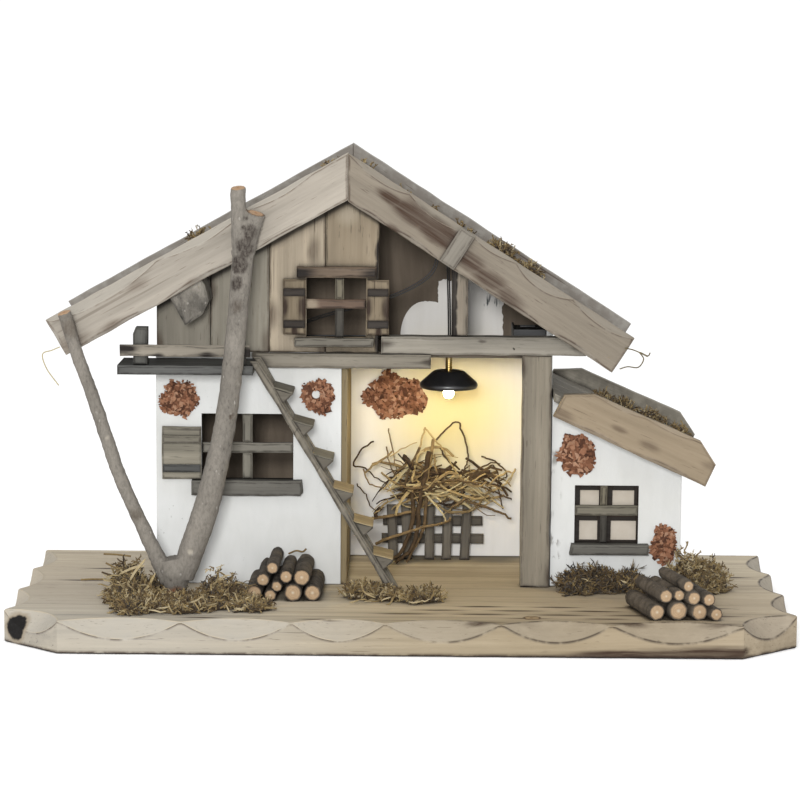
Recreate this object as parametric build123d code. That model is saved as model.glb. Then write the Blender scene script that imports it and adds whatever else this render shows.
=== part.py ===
from build123d import *
import os
from math import cos, pi, radians, sin, tan

# A wooden nativity stable: a plastered house with a timber gable, an open stall with a lamp, and a lean-to.
# Millimetres. Origin under the middle of the base board, X to the right, Y to the back, Z up.

# Base board and the scoops carved along its upper edge
base_width = 600
base_depth = 280
base_height = 25
corner_cut_x = 45
corner_cut_y = 40
scoop_depth = 10
front_cusps = (-255, -163, -81, -11, 75, 157, 255)
side_cusps = (-100, -24, 58, 136)

# Walls
front_face = 4
wall = 8
thin_wall = 5
back_face = 127
rear_face = back_face + thin_wall
house_left = -194
partition_right = -43
house_right = 118
annex_right = 221
plaster_top = 210
loft_bottom = 206
loft_top = 210

# Main roof, both slopes measured from the ridge
ridge_x = -42.5
ridge_z = 369
left_pitch = 29.3
right_pitch = 32.5
left_length = 264
right_length = 260
rear_left_length = 271
rear_right_length = 275
fascia_width = 31
fascia_thick = 8
fascia_front = -52
panel_drop = 12
panel_thick = 6
panel_under = panel_drop + panel_thick

# Annex roof, measured along its upper edge line
annex_pitch = 24
annex_high = (147, 184)
annex_fascia_front = -30
annex_fascia_width = 30
annex_panel_drop = 13
annex_panel_under = annex_panel_drop + panel_thick
annex_eave_x = 240

# Frame timbers
post_left = 94
post_right = 117
tie_left = -17
tie_right = 143
tie_top = 224
lintel_left = -115
lintel_right = 22
lintel_bottom = 199
king_left = 38
king_right = 50.5

# Windows: left, right, bottom, top of each opening
left_window = (-158, -86, 109, 161)
gable_window = (-76, -29, 222, 269)
annex_window = (137, 187, 60, 106)
gable_leaves = ((-94, -76), (-28.5, -11))
bar_depth = 5

# Gable planks: the joints between them
plank_edges = (-193.5, -151, -105, -61, -19)
plank_gap = 0.5

# Balcony and stair
balcony_left = -219
balcony_right = -115
balcony_front = -48
balcony_bottom = 198
balcony_top = 205
stair_front = -44
stair_back = -7
stair_pitch = 59.1
stringer_thick = 5
stringer_width = 5
tread_count = 6
tread_rise = 26
first_tread_z = 189
tread_reach = 15.5
tread_tilt = 4
tread_drop = 13

# Lamp and its supply
lamp_x = 36.7
lamp_y = 36.7
socket_radius = 2.75
socket_top = 204.5
socket_bottom = 186
shade_top = 193
shade_brow = 182
shade_rim = 178.8
shade_top_radius = 11
shade_brow_radius = 23.3
shade_rim_radius = 22
shade_wall = 0.8
bulb_radius = 4.2
bulb_z = 174.5
lead_diameter = 1.2
lead_hole_radius = 3
twin_shift = Vector(1.5, 1.4, -1.4)
case_x = (87.5, 112.5)
case_y = (18, 72)
case_top = 228
case_wall = 1.6
cell_radius = 5.25
cell_length = 44.5
lid_bottom = 224.4
lid_thick = 1.6
groove = 0.9
lid_play = 0.2
switch_slot = (97, 105.5, 216, 219)

# Dressing
log_length = 64
picket_width = 8
picket_thick = 4
picket_height = 46
patch_thick = 2
moss_lift = 0.3


def block(x_low, x_high, y_low, y_high, z_low, z_high):
    size = Box(x_high - x_low, y_high - y_low, z_high - z_low)
    return Pos((x_low + x_high) / 2, (y_low + y_high) / 2, (z_low + z_high) / 2) * size


def plate(outline, y_low, y_high):
    """A flat board from its front outline in X and Z, running back from y_low to y_high."""
    edge = Polyline(*[(x, y_low, z) for x, z in outline], close=True)
    return extrude(make_face(edge), amount=y_high - y_low, dir=(0, 1, 0))


def rod(start, end, radius):
    """A round stick between two points."""
    axis = Vector(*end) - Vector(*start)
    return extrude(Plane(origin=start, z_dir=axis) * Circle(radius), amount=axis.length)


def dome(x, y, z, length, depth, height, tilt=0):
    """A low rounded clump on a surface, tilted about Y to lie on a roof slope."""
    half_ball = Sphere(1) - Pos(0, 0, -1) * Box(3, 3, 2)
    return Pos(x, y, z) * Rot(0, tilt, 0) * scale(half_ball, by=(length, depth, height))


def group(solids):
    return Compound(children=list(solids))


def left_roof_z(x, drop=0):
    """Height of the left slope at x, a given depth below its upper edge line."""
    angle = radians(left_pitch)
    return ridge_z - (ridge_x - x) * tan(angle) - drop / cos(angle)


def right_roof_z(x, drop=0):
    angle = radians(right_pitch)
    return ridge_z - (x - ridge_x) * tan(angle) - drop / cos(angle)


def annex_roof_z(x, drop=0):
    angle = radians(annex_pitch)
    return annex_high[1] - (x - annex_high[0]) * tan(angle) - drop / cos(angle)


def slope_point(side, along, drop):
    """A point on a main slope: side is -1 left or 1 right, along runs down from the ridge, drop goes in."""
    angle = radians(left_pitch if side < 0 else right_pitch)
    x = ridge_x + side * (along * cos(angle) - drop * sin(angle))
    return (x, ridge_z - along * sin(angle) - drop * cos(angle))


def slope_board(side, along, drop_top, drop_bottom):
    """Outline of a board on a main slope from the ridge down to a square end."""
    height = left_roof_z if side < 0 else right_roof_z
    top = (ridge_x, height(ridge_x, drop_top))
    bottom = (ridge_x, height(ridge_x, drop_bottom))
    return [top, slope_point(side, along, drop_top), slope_point(side, along, drop_bottom), bottom]


def scoop(start, end, outward):
    """The cut that one carved scoop takes off the board's upper edge, between two cusps on it."""
    first = Vector(start[0], start[1], base_height)
    last = Vector(end[0], end[1], base_height)
    half = (last - first).length / 2
    radius = (half ** 2 + scoop_depth ** 2) / (2 * scoop_depth)
    away = Vector(outward[0], outward[1], 0).normalized()
    up = Vector(0, 0, 1)
    middle = (first + last) * 0.5 + (away + up).normalized() * (radius - scoop_depth)
    across = Plane(origin=middle, x_dir=(last - first).normalized(), z_dir=(up - away).normalized())
    return across * Cylinder(radius, 4 * scoop_depth)


def base_board():
    x = base_width / 2
    y = base_depth / 2
    in_x = x - corner_cut_x
    in_y = y - corner_cut_y
    outline = Polyline((-x, y), (-x, -in_y), (-in_x, -y), (in_x, -y), (x, -in_y), (x, y), close=True)
    board = extrude(make_face(outline), amount=base_height)
    for left, right in zip(front_cusps, front_cusps[1:]):
        board -= scoop((left, -y), (right, -y), (0, -1))
    for side in (-1, 1):
        for front, back in zip(side_cusps, side_cusps[1:]):
            board -= scoop((side * x, front), (side * x, back), (side, 0))
        board -= scoop((side * in_x, -y), (side * x, -in_y), (side * corner_cut_y, -corner_cut_x))
    return board


def window_hole(window, y_low, y_high):
    left, right, bottom, top = window
    return block(left, right, y_low, y_high, bottom, top)


def window_bars(window, mullion, muntin):
    """A cross of two glazing bars set in an opening."""
    left, right, bottom, top = window
    y_high = front_face + bar_depth
    upright = block(mullion[0], mullion[1], front_face, y_high, bottom, top)
    return upright + block(left, right, front_face, y_high, muntin[0], muntin[1])


def shutter(left, right, bottom, top, battens):
    """A board shutter on the wall with two battens across it."""
    leaf = block(left, right, front_face - 4, front_face, bottom, top)
    for z in battens:
        leaf += block(left, right, front_face - 6, front_face - 4, z, z + 6)
    return leaf


def left_front_wall():
    right = partition_right - thin_wall
    panel = block(house_left, right, front_face, front_face + wall, base_height, plaster_top)
    return panel - window_hole(left_window, front_face - 1, front_face + wall + 1)


def left_side_wall():
    inner = house_left + wall
    outline = [(house_left, base_height), (inner, base_height), (inner, left_roof_z(inner, panel_under)),
               (house_left, left_roof_z(house_left, panel_under))]
    return plate(outline, front_face + wall, back_face)


def partition_wall():
    """A bare board beside the stall, its front edge showing next to the plaster."""
    left = partition_right - thin_wall
    return block(left, partition_right, front_face, back_face, base_height, loft_bottom)


def right_wall():
    inner = house_right - thin_wall
    outline = [(inner, base_height), (house_right, base_height),
               (house_right, right_roof_z(house_right, panel_under)),
               (inner, right_roof_z(inner, panel_under))]
    return plate(outline, front_face + wall, back_face)


def back_wall():
    """One panel across the house and the annex, cut to the undersides of both roofs."""
    outline = [(house_left, base_height), (annex_right, base_height),
               (annex_right, annex_roof_z(annex_right, annex_panel_under)),
               (house_right, annex_roof_z(house_right, annex_panel_under)),
               (house_right, right_roof_z(house_right, panel_under)),
               (ridge_x, right_roof_z(ridge_x, panel_under)),
               (house_left, left_roof_z(house_left, panel_under))]
    return plate(outline, back_face, rear_face)


def loft_floor():
    inner = front_face + wall
    board = block(house_left + wall, house_right - thin_wall, inner, back_face, loft_bottom, loft_top)
    return board - Pos(lamp_x, lamp_y, loft_top) * Cylinder(lead_hole_radius, 20)


def annex_front_wall():
    outline = [(house_right, base_height), (annex_right, base_height),
               (annex_right, annex_roof_z(annex_right, annex_panel_under)),
               (house_right, annex_roof_z(house_right, annex_panel_under))]
    panel = plate(outline, front_face, front_face + wall)
    return panel - window_hole(annex_window, front_face - 1, front_face + wall + 1)


def annex_side_wall():
    inner = annex_right - wall
    outline = [(inner, base_height), (annex_right, base_height),
               (annex_right, annex_roof_z(annex_right, annex_panel_under)),
               (inner, annex_roof_z(inner, annex_panel_under))]
    return plate(outline, front_face + wall, back_face)


def gable_plank(left, right):
    """An upright gable board, cut at the top to the underside of the roof."""
    low = left + plank_gap / 2
    high = right - plank_gap / 2
    top = [(low, left_roof_z(low, panel_under))]
    if high > ridge_x:
        top.append((ridge_x, right_roof_z(ridge_x, panel_under)))
        top.append((high, right_roof_z(high, panel_under)))
    else:
        top.append((high, left_roof_z(high, panel_under)))
    board = plate([(high, plaster_top), (low, plaster_top)] + top, front_face, front_face + wall)
    return board - window_hole(gable_window, front_face - 1, front_face + wall + 1)


def king_post():
    outline = [(king_left, tie_top), (king_right, tie_top),
               (king_right, right_roof_z(king_right, panel_under)),
               (king_left, right_roof_z(king_left, panel_under))]
    return plate(outline, front_face - 4, front_face + wall)


def left_purlin():
    """A bark-edged beam end under the left slope, standing out from the gable."""
    near = 146
    far = 174
    foot = panel_under + 37
    outline = [slope_point(-1, near, panel_under), slope_point(-1, near, foot - 19),
               slope_point(-1, near + 3, foot - 7), slope_point(-1, near + 12.5, foot),
               slope_point(-1, far, foot), slope_point(-1, far, panel_under)]
    return plate(outline, fascia_front + fascia_thick + 4, front_face)


def roof_panel(side, length):
    outline = slope_board(side, length - 2, panel_drop, panel_under)
    return plate(outline, fascia_front + fascia_thick, rear_face)


def front_left_fascia():
    return plate(slope_board(-1, left_length, 0, fascia_width), fascia_front, fascia_front + fascia_thick)


def front_right_fascias():
    """The right front fascia is two boards, end to end, with a block over the joint."""
    joint = 109
    half_block = 6.5
    upper = slope_board(1, joint, 0, fascia_width)
    lower = [slope_point(1, joint, 0), slope_point(1, right_length, 0),
             slope_point(1, right_length, fascia_width), slope_point(1, joint, fascia_width)]
    high = joint - half_block
    low = joint + half_block
    cover = [slope_point(1, high, 0), slope_point(1, low, 0), slope_point(1, low, fascia_width),
             slope_point(1, high, fascia_width)]
    inner = fascia_front + fascia_thick
    return (plate(upper, fascia_front, inner), plate(lower, fascia_front, inner),
            plate(cover, fascia_front - 4, fascia_front))


def rear_fascia(side, length):
    outline = slope_board(side, length, 0, fascia_width)
    return plate(outline, rear_face, rear_face + fascia_thick)


def annex_fascia(y_low):
    """A waney board: the upper corners at both ends are cut away."""
    drop = annex_fascia_width
    outline = [(117.2, annex_roof_z(117.2, drop - 1)), (125.5, annex_roof_z(128.5, 9)),
               (149, annex_roof_z(149)), (232, annex_roof_z(230)), (244, annex_roof_z(244, 11)),
               (236, annex_roof_z(236, drop))]
    return plate(outline, y_low, y_low + fascia_thick)


def annex_roof_panel():
    outline = [(house_right, annex_roof_z(house_right, annex_panel_drop)),
               (annex_eave_x, annex_roof_z(annex_eave_x, annex_panel_drop)),
               (annex_eave_x - 3, annex_roof_z(annex_eave_x - 3, annex_panel_under)),
               (house_right, annex_roof_z(house_right, annex_panel_under))]
    return plate(outline, annex_fascia_front + fascia_thick, rear_face)


def balcony_railing():
    """Two posts with bevelled tops and the rail across their fronts."""
    post = 11
    post_front = balcony_front + 4
    rail = block(balcony_left + 2, balcony_right - 2, balcony_front, post_front, 212, 221)
    posts = []
    for x in (-207, -132):
        outline = [(x, balcony_top), (x + post, balcony_top), (x + post, 234), (x + 2, 234), (x, 229)]
        posts.append(plate(outline, post_front, post_front + post))
    return group([rail] + posts)


def stair_lower_x(z):
    """X of the stringers' lower edge at a height: it leans on the balcony's end."""
    return balcony_right + (balcony_top - z) / tan(radians(stair_pitch))


def stair_stringers():
    across = stringer_thick / sin(radians(stair_pitch))
    top = balcony_top + 3
    outline = [(stair_lower_x(base_height), base_height), (stair_lower_x(base_height) + across, base_height),
               (stair_lower_x(top) + across, top), (stair_lower_x(top), top)]
    front = plate(outline, stair_front, stair_front + stringer_width)
    return group([front, plate(outline, stair_back - stringer_width, stair_back)])


def stair_treads():
    """Wedge-shaped steps glued on the stringers."""
    across = stringer_thick / sin(radians(stair_pitch))
    treads = []
    for step in range(tread_count):
        top = first_tread_z - step * tread_rise
        root = stair_lower_x(top) + across
        foot = stair_lower_x(top - tread_drop) + across
        tip = root + tread_reach
        edge = top - tread_tilt
        wedge = [(root, top), (tip, edge), (tip, edge - 2), (foot, top - tread_drop)]
        treads.append(plate(wedge, stair_front, stair_back))
    return group(treads)


def gable_window_trim():
    """The window's head board and its sill."""
    left, right, bottom, top = gable_window
    head = block(left - 7, right + 8, front_face - 8, front_face, top + 1, top + 9)
    sill = block(left - 9, right + 6, front_face - 8, front_face, bottom - 6.5, bottom)
    return group([head, sill])


def annex_window_sill():
    left, right, bottom, _ = annex_window
    return block(left - 4, right + 6, front_face - 10, front_face, bottom - 8, bottom)


def annex_window_pane():
    left, right, bottom, top = annex_window
    back = front_face + wall
    return block(left - 5, right + 5, back, back + 1, bottom - 5, top + 5)


def limb(stations):
    """A tapering round limb through stations of x, y, z and radius."""
    points = [Vector(*station[:3]) for station in stations]
    sections = []
    for i, point in enumerate(points):
        ahead = points[min(i + 1, len(points) - 1)]
        behind = points[max(i - 1, 0)]
        sections.append(Plane(origin=point, z_dir=ahead - behind) * Circle(stations[i][3]))
    return loft(sections)


def forked_branch():
    """A natural forked branch stood on the board, leaning in front of the roof's left fascia."""
    trunk = limb([(-173, -65, 24, 6.4), (-173, -65, 32, 7.2), (-173.4, -65, 40, 10.2), (-173, -65, 49, 12.6),
                  (-175, -65, 59, 11)])
    left = limb([(-178, -65, 42, 8), (-187.5, -65, 60, 6.2), (-197, -64.5, 80, 5.6), (-209, -64, 106, 5.2),
                 (-219.5, -63, 132, 5.2), (-235, -62, 180, 5), (-247, -60, 212, 4.9),
                 (-258, -59.5, 248, 5.2)])
    right = limb([(-168, -65, 44, 9), (-158.5, -65, 71, 9.8), (-149.5, -65, 98, 9.8), (-142, -65, 128, 9),
                  (-135, -65, 162, 8.2), (-130, -64.5, 200, 8), (-125, -64, 250, 7.6), (-122, -64, 290, 8),
                  (-124.5, -63, 322, 6), (-125, -63, 344, 5.8)])
    spur = limb([(-122, -64, 278, 7), (-118, -63.5, 300, 7), (-111.5, -63, 325, 7)])
    tree = trunk + left + right + spur
    return tree - Pos(-171, -65, base_height - 20) * Box(120, 60, 40)


def left_log_pile():
    """Short round logs stacked on the ground in front of the left wall."""
    ends = [(-113, 31.2, 6.1), (-100.5, 29.6, 4.5), (-83, 32, 6.7), (-68, 31.6, 6.3), (-106.3, 41.7, 5),
            (-95.4, 36.8, 4.1), (-76.3, 43.6, 6.5), (-98.8, 51, 4.6), (-88.3, 44.5, 5)]
    logs = []
    for number, (x, z, radius) in enumerate(ends):
        front = -62 - number % 3
        logs.append(rod((x, front, z), (x + 1, front + log_length, z), radius))
    return group(logs)


def right_log_pile():
    """A second pile at the right front corner, turned towards the annex."""
    ends = [(192, 31.4, 6.2), (208, 32.3, 7.1), (224, 31.4, 6.2), (236.5, 30, 4.8), (198.6, 43.4, 5.2),
            (208.6, 44, 4.3), (219.5, 42.3, 5.2), (231, 41, 4.9), (215.4, 51, 4.3)]
    logs = []
    for number, (x, z, radius) in enumerate(ends):
        front = -122 + number % 3
        logs.append(rod((x, front, z), (x - 14, front + 54, z), radius))
    return group(logs)


def hay_rack():
    """A little picket fence before the back wall, its two rails behind the pickets."""
    front = 110
    rails_front = front + picket_thick
    rails_back = rails_front + 4
    rack = block(-17, 68, rails_front, rails_back, 38, 46) + block(-16, 67, rails_front, rails_back, 53, 61)
    for x, lean in ((-9, 2), (3, 2), (23, 0), (38, -1), (54, -2)):
        foot = x + lean
        top = base_height + picket_height
        outline = [(foot - picket_width / 2, base_height), (foot + picket_width / 2, base_height),
                   (x + picket_width / 2, top), (x - picket_width / 2, top)]
        rack += plate(outline, front, rails_front)
    return rack


def hay_bundle():
    """A heap of twigs and straw on the rack: its body and its longest stems."""
    heap = Pos(14, 97, 89) * scale(Sphere(1), by=(30, 18, 16))
    heap += Pos(44, 98, 92) * scale(Sphere(1), by=(35, 19, 19))
    heap += Pos(68, 97, 86) * scale(Sphere(1), by=(22, 16, 13))
    stems = [((-10, 92, 26.2), (16, 96, 86)), ((4, 95, 26.2), (26, 96, 84)), ((20, 92, 80), (22, 92, 140)),
             ((40, 96, 90), (48, 94, 142)), ((10, 98, 92), (-14, 94, 136)), ((0, 98, 92), (-26, 92, 127)),
             ((4, 94, 90), (-40, 88, 102)), ((60, 96, 92), (96, 92, 108)), ((56, 96, 84), (90, 90, 64)),
             ((30, 90, 88), (70, 84, 120)), ((-4, 92, 84), (-30, 84, 64))]
    for start, end in stems:
        heap += rod(start, end, 1.6)
    return heap


def ground_moss(neighbours):
    """Moss round the branch's foot, the stair's foot, the annex wall and the right corner."""
    clumps = [(-204, -72, 26, 24, 17), (-190, -98, 30, 20, 12), (-160, -100, 28, 18, 11),
              (-136, -80, 18, 20, 24), (-214, -50, 18, 18, 30), (-186, -46, 20, 14, 10),
              (-114, -90, 22, 14, 11), (-20, -54, 28, 20, 10), (6, -58, 24, 18, 9), (132, -16, 14, 14, 24),
              (152, -16, 16, 15, 20), (174, -14, 16, 14, 16), (226, -12, 18, 13, 40), (242, -6, 18, 14, 28)]
    mounds = []
    for x, y, length, depth, height in clumps:
        mound = dome(x, y, base_height, length, depth, height)
        for piece in neighbours:
            mound -= piece
        for other in mounds:
            mound -= other
        mounds += mound.solids()
    return group(mounds)


def roof_moss():
    """Moss clumps lying in the trays of the main and annex roofs."""
    clumps = []
    for side, along, y, length, depth, height in (
            (-1, 146, 84, 12, 9, 9), (-1, 24, 92, 10, 8, 10), (1, 22, 96, 9, 8, 9), (1, 54, 98, 12, 8, 9),
            (1, 82, 90, 11, 9, 9), (1, 116, 96, 13, 9, 10), (1, 150, 92, 18, 11, 11), (1, 178, 98, 12, 9, 9)):
        x, z = slope_point(side, along, panel_drop - moss_lift)
        tilt = -left_pitch if side < 0 else right_pitch
        clumps.append(dome(x, y, z, length, depth, height, tilt))
    for x, y, length in ((160, 70, 10), (180, 88, 12), (202, 96, 17), (226, 84, 9)):
        clumps.append(dome(x, y, annex_roof_z(x, annex_panel_drop - moss_lift), length, 10, 9,
                           annex_pitch))
    return group(clumps)


def crumb_patch(x, z, width, height, y_low, turn):
    """An uneven patch of terracotta crumbs where the plaster looks broken away."""
    points = 22
    outline = []
    for i in range(points):
        angle = 2 * pi * i / points
        swell = 1 + 0.09 * sin(3 * angle + turn) + 0.07 * sin(7 * angle + 2 * turn)
        outline.append((x + width / 2 * swell * cos(angle), z + height / 2 * swell * sin(angle)))
    return plate(outline, y_low, y_low + patch_thick)


def brick_patches():
    on_front = front_face - patch_thick
    gap = Pos(-68, front_face, 177) * Rot(90, 0, 0) * Cylinder(3.5, 9)
    ringed = crumb_patch(-66, 176, 28, 29, on_front, 1) - gap
    return group([crumb_patch(-176, 172, 30, 31, on_front, 0), ringed,
                  crumb_patch(-7, 160, 50, 42, back_face - patch_thick, 2),
                  crumb_patch(138, 131, 35, 31, on_front, 3), crumb_patch(208, 59, 22, 33, on_front, 4)])


def spun(profile):
    """A round piece on the lamp's axis from its profile of radius and height."""
    face = make_face(Polyline(*[(radius, 0, z) for radius, z in profile], close=True))
    return Pos(lamp_x, lamp_y, 0) * revolve(face, Axis.Z)


def lamp_socket():
    return spun([(0, socket_bottom), (socket_radius, socket_bottom),
                 (socket_radius, socket_top), (0, socket_top)])


def lamp_shade():
    """A flat cone with a boss at its top and its lip turned in below the brow."""
    cone = [(shade_top_radius, shade_top), (shade_top_radius + 2, shade_top - 0.8),
            (shade_brow_radius - 1, shade_brow + 1.4)]
    lip = [(shade_brow_radius, shade_brow), (shade_brow_radius - 0.4, shade_brow - 1.8),
           (shade_rim_radius, shade_rim)]
    under_lip = [(radius - shade_wall, z) for radius, z in lip]
    under_cone = [(radius - shade_wall * 0.55, z - shade_wall * 0.84) for radius, z in cone]
    return spun([(socket_radius, shade_top)] + cone + lip + under_lip[::-1] + under_cone[::-1]
                + [(socket_radius, shade_top - shade_wall)])


def lamp_bulb():
    globe = Pos(lamp_x, lamp_y, bulb_z) * Sphere(bulb_radius)
    return globe + spun([(0, bulb_z), (2.4, bulb_z), (2.4, socket_bottom), (0, socket_bottom)])


lead_route = [(36, 36, 205.5), (36.2, 35.6, 222), (35.6, 31, 247), (34.6, 24, 272), (33.6, 18, 294),
              (25, 15.6, 298.4), (21.5, 14.6, 274), (9, 15, 259.5), (-11, 17, 252.6), (-36, 20, 246),
              (-60, 24.5, 239), (-82, 30.5, 231), (-104, 39, 221.5), (-121, 51, 214.6), (-129, 67, 212.2),
              (-125, 85, 212.3), (-110, 98.5, 212.2), (-84, 106, 212.3), (-52, 108.5, 212.2),
              (-20, 108, 212.3), (12, 104.5, 212.2), (38, 96, 212.3), (54, 82, 212.2), (63, 67, 212.3),
              (74.5, 58.5, 212.2), (case_x[0] - 0.2, 57.5, 212.3)]


def lead_wire(route):
    """One insulated wire along its route: straight runs joined by arcs as large as the runs allow."""
    points = [Vector(*point) for point in route]
    radii = []
    for before, corner, after in zip(points, points[1:], points[2:]):
        turn = radians((corner - before).get_angle(after - corner))
        shorter = min((corner - before).length, (after - corner).length)
        radii.append(0.45 * shorter / tan(turn / 2))
    path = FilletPolyline(*points, radius=radii)
    wire = sweep(Plane(origin=points[0], z_dir=points[1] - points[0]) * Circle(lead_diameter / 2), path=path)
    full = pi * lead_diameter ** 2 / 4 * path.length
    print("lead length", round(path.length, 1), "volume share", round(wire.volume / full, 4),
          "radii", [round(radius, 1) for radius in radii])
    return wire


def lamp_lead():
    """Two wires side by side, from the socket up to the roof, through the loft to the battery case."""
    second = [tuple(Vector(*point) + twin_shift) for point in lead_route]
    second[0] = (second[0][0], second[0][1], lead_route[0][2])
    second[-1] = (lead_route[-1][0], second[-1][1], second[-1][2])
    return group([lead_wire(lead_route), lead_wire(second)])


def lead_staples():
    """A flat wire staple that holds the lead up under the right roof panel."""
    x = 29.5
    wire = 0.8
    front, back = 12, 21
    low = 292.6
    left = x - wire / 2
    right = x + wire / 2
    outline = [(left, low), (right, low), (right, right_roof_z(right, panel_under)),
               (left, right_roof_z(left, panel_under))]
    staple = plate(outline, front, front + wire) + plate(outline, back - wire, back)
    return staple + block(left, right, front, back, low, low + wire)


def battery_case():
    """An open box with grooves near the top of its side walls for the lid."""
    left, right = case_x
    front, back = case_y
    case = block(left, right, front, back, loft_top, case_top)
    case -= block(left + case_wall, right - case_wall, front + case_wall, back - case_wall,
                  loft_top + case_wall, case_top + 1)
    case -= block(left + case_wall - groove, right - case_wall + groove, front + case_wall, back + 1,
                  lid_bottom - lid_play, lid_bottom + lid_thick + lid_play)
    case -= block(left + case_wall, right - case_wall, back - case_wall - 1, back + 1,
                  lid_bottom - lid_play, case_top + 1)
    slot_left, slot_right, slot_low, slot_high = switch_slot
    return case - block(slot_left, slot_right, front - 1, front + case_wall + 1, slot_low, slot_high)


def battery_lid():
    reach = case_wall - groove + lid_play
    lid = block(case_x[0] + reach, case_x[1] - reach, case_y[0] + case_wall + lid_play, case_y[1],
                lid_bottom, lid_bottom + lid_thick)
    middle = (case_x[0] + case_x[1]) / 2
    for y in (58, 61, 64):
        lid += block(middle - 6, middle + 6, y, y + 1.2, lid_bottom + lid_thick, lid_bottom + lid_thick + 0.8)
    return lid


def cell_axes():
    middle = (case_x[0] + case_x[1]) / 2
    z = loft_top + case_wall + cell_radius
    return [(middle - cell_radius - 0.1, z), (middle + cell_radius + 0.1, z)]


def battery_cells():
    """Two small round cells side by side, one each way round."""
    start = case_y[0] + case_wall + 3
    cells = []
    for number, (x, z) in enumerate(cell_axes()):
        body_start = start + (0.8 if number else 0)
        body = rod((x, body_start, z), (x, body_start + cell_length - 0.8, z), cell_radius)
        nub = (start, start + 0.8) if number else (start + cell_length - 0.8, start + cell_length)
        cells.append(body + rod((x, nub[0], z), (x, nub[1], z), 1.9))
    return group(cells)


def battery_contacts():
    """A bridge plate across one end of the cells and two tabs at the other."""
    start = case_y[0] + case_wall + 3
    plates = [block(x - 4.4, x + 4.4, start - 0.5, start, z - 4, z + 4) for x, z in cell_axes()]
    (first, z), (second, _) = cell_axes()
    end = start + cell_length
    plates.append(block(first - 4.4, second + 4.4, end, end + 0.5, z - 4, z + 4))
    return group(plates)


def battery_switch():
    """A slide knob in the slot of the case's front end."""
    slot_left, _, low, high = switch_slot
    front = case_y[0]
    stem = block(slot_left + 0.4, slot_left + 4, front - 0.4, front + case_wall + 0.6, low + 0.3, high - 0.3)
    return stem + block(slot_left, slot_left + 4.4, front - 1.9, front - 0.4, low - 0.5, high + 0.5)


upper_fascia, lower_fascia, joint_block = front_right_fascias()
tree = forked_branch()
stringers = stair_stringers()
left_logs = left_log_pile()

parts = {
    "base_board": base_board(),
    "left_front_wall": left_front_wall(),
    "left_side_wall": left_side_wall(),
    "partition_wall": partition_wall(),
    "right_wall": right_wall(),
    "back_wall": back_wall(),
    "loft_floor": loft_floor(),
    "annex_front_wall": annex_front_wall(),
    "annex_side_wall": annex_side_wall(),
    "tie_beam": block(tie_left, tie_right, front_face - 8, front_face + wall, loft_top, tie_top),
    "lintel_beam": block(lintel_left, lintel_right, front_face - 10, front_face, lintel_bottom, loft_top),
    "king_post": king_post(),
    "door_post": block(post_left, post_right, front_face - 6, front_face + wall, base_height, loft_top),
    "left_purlin": left_purlin(),
    "left_roof_panel": roof_panel(-1, left_length),
    "right_roof_panel": roof_panel(1, right_length),
    "front_left_fascia": front_left_fascia(),
    "front_right_upper_fascia": upper_fascia,
    "front_right_lower_fascia": lower_fascia,
    "fascia_joint_block": joint_block,
    "rear_left_fascia": rear_fascia(-1, rear_left_length),
    "rear_right_fascia": rear_fascia(1, rear_right_length),
    "annex_roof_panel": annex_roof_panel(),
    "annex_front_fascia": annex_fascia(annex_fascia_front),
    "annex_rear_fascia": annex_fascia(rear_face),
    "balcony_floor": block(balcony_left, balcony_right, balcony_front, front_face,
                           balcony_bottom, balcony_top),
    "balcony_railing": balcony_railing(),
    "stair_stringers": stringers,
    "stair_treads": stair_treads(),
    "left_window_bars": window_bars(left_window, (-126, -118), (130, 138)),
    "left_window_sill": block(-166, -78, front_face - 9, front_face, 97, left_window[2]),
    "left_window_shutter": shutter(-189, left_window[0], left_window[2] + 0.2, 151, (115, 138)),
    "gable_window_bars": window_bars(gable_window, (-53.5, -46.5), (245, 252)),
    "gable_window_trim": gable_window_trim(),
    "gable_shutters": group([shutter(left, right, 224.5, 268, (230, 255)) for left, right in gable_leaves]),
    "annex_window_bars": window_bars(annex_window, (157, 162.5), (82, 90)),
    "annex_window_sill": annex_window_sill(),
    "annex_window_pane": annex_window_pane(),
    "forked_branch": tree,
    "left_log_pile": left_logs,
    "right_log_pile": right_log_pile(),
    "hay_rack": hay_rack(),
    "hay_bundle": hay_bundle(),
    "ground_moss": ground_moss([tree, stringers, left_logs]),
    "roof_moss": roof_moss(),
    "brick_patches": brick_patches(),
    "lamp_socket": lamp_socket(),
    "lamp_shade": lamp_shade(),
    "lamp_bulb": lamp_bulb(),
    "lamp_lead": lamp_lead(),
    "lead_staples": lead_staples(),
    "battery_case": battery_case(),
    "battery_lid": battery_lid(),
    "battery_cells": battery_cells(),
    "battery_contacts": battery_contacts(),
    "battery_switch": battery_switch(),
}
for number, (left, right) in enumerate(zip(plank_edges, plank_edges[1:]), start=1):
    parts["gable_plank_" + str(number)] = gable_plank(left, right)

os.makedirs("parts", exist_ok=True)
for name, shape in parts.items():
    export_step(shape, "parts/" + name + ".step")
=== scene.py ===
import math
import random
import bmesh
import bpy
from mathutils import Matrix, Vector, noise


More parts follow.
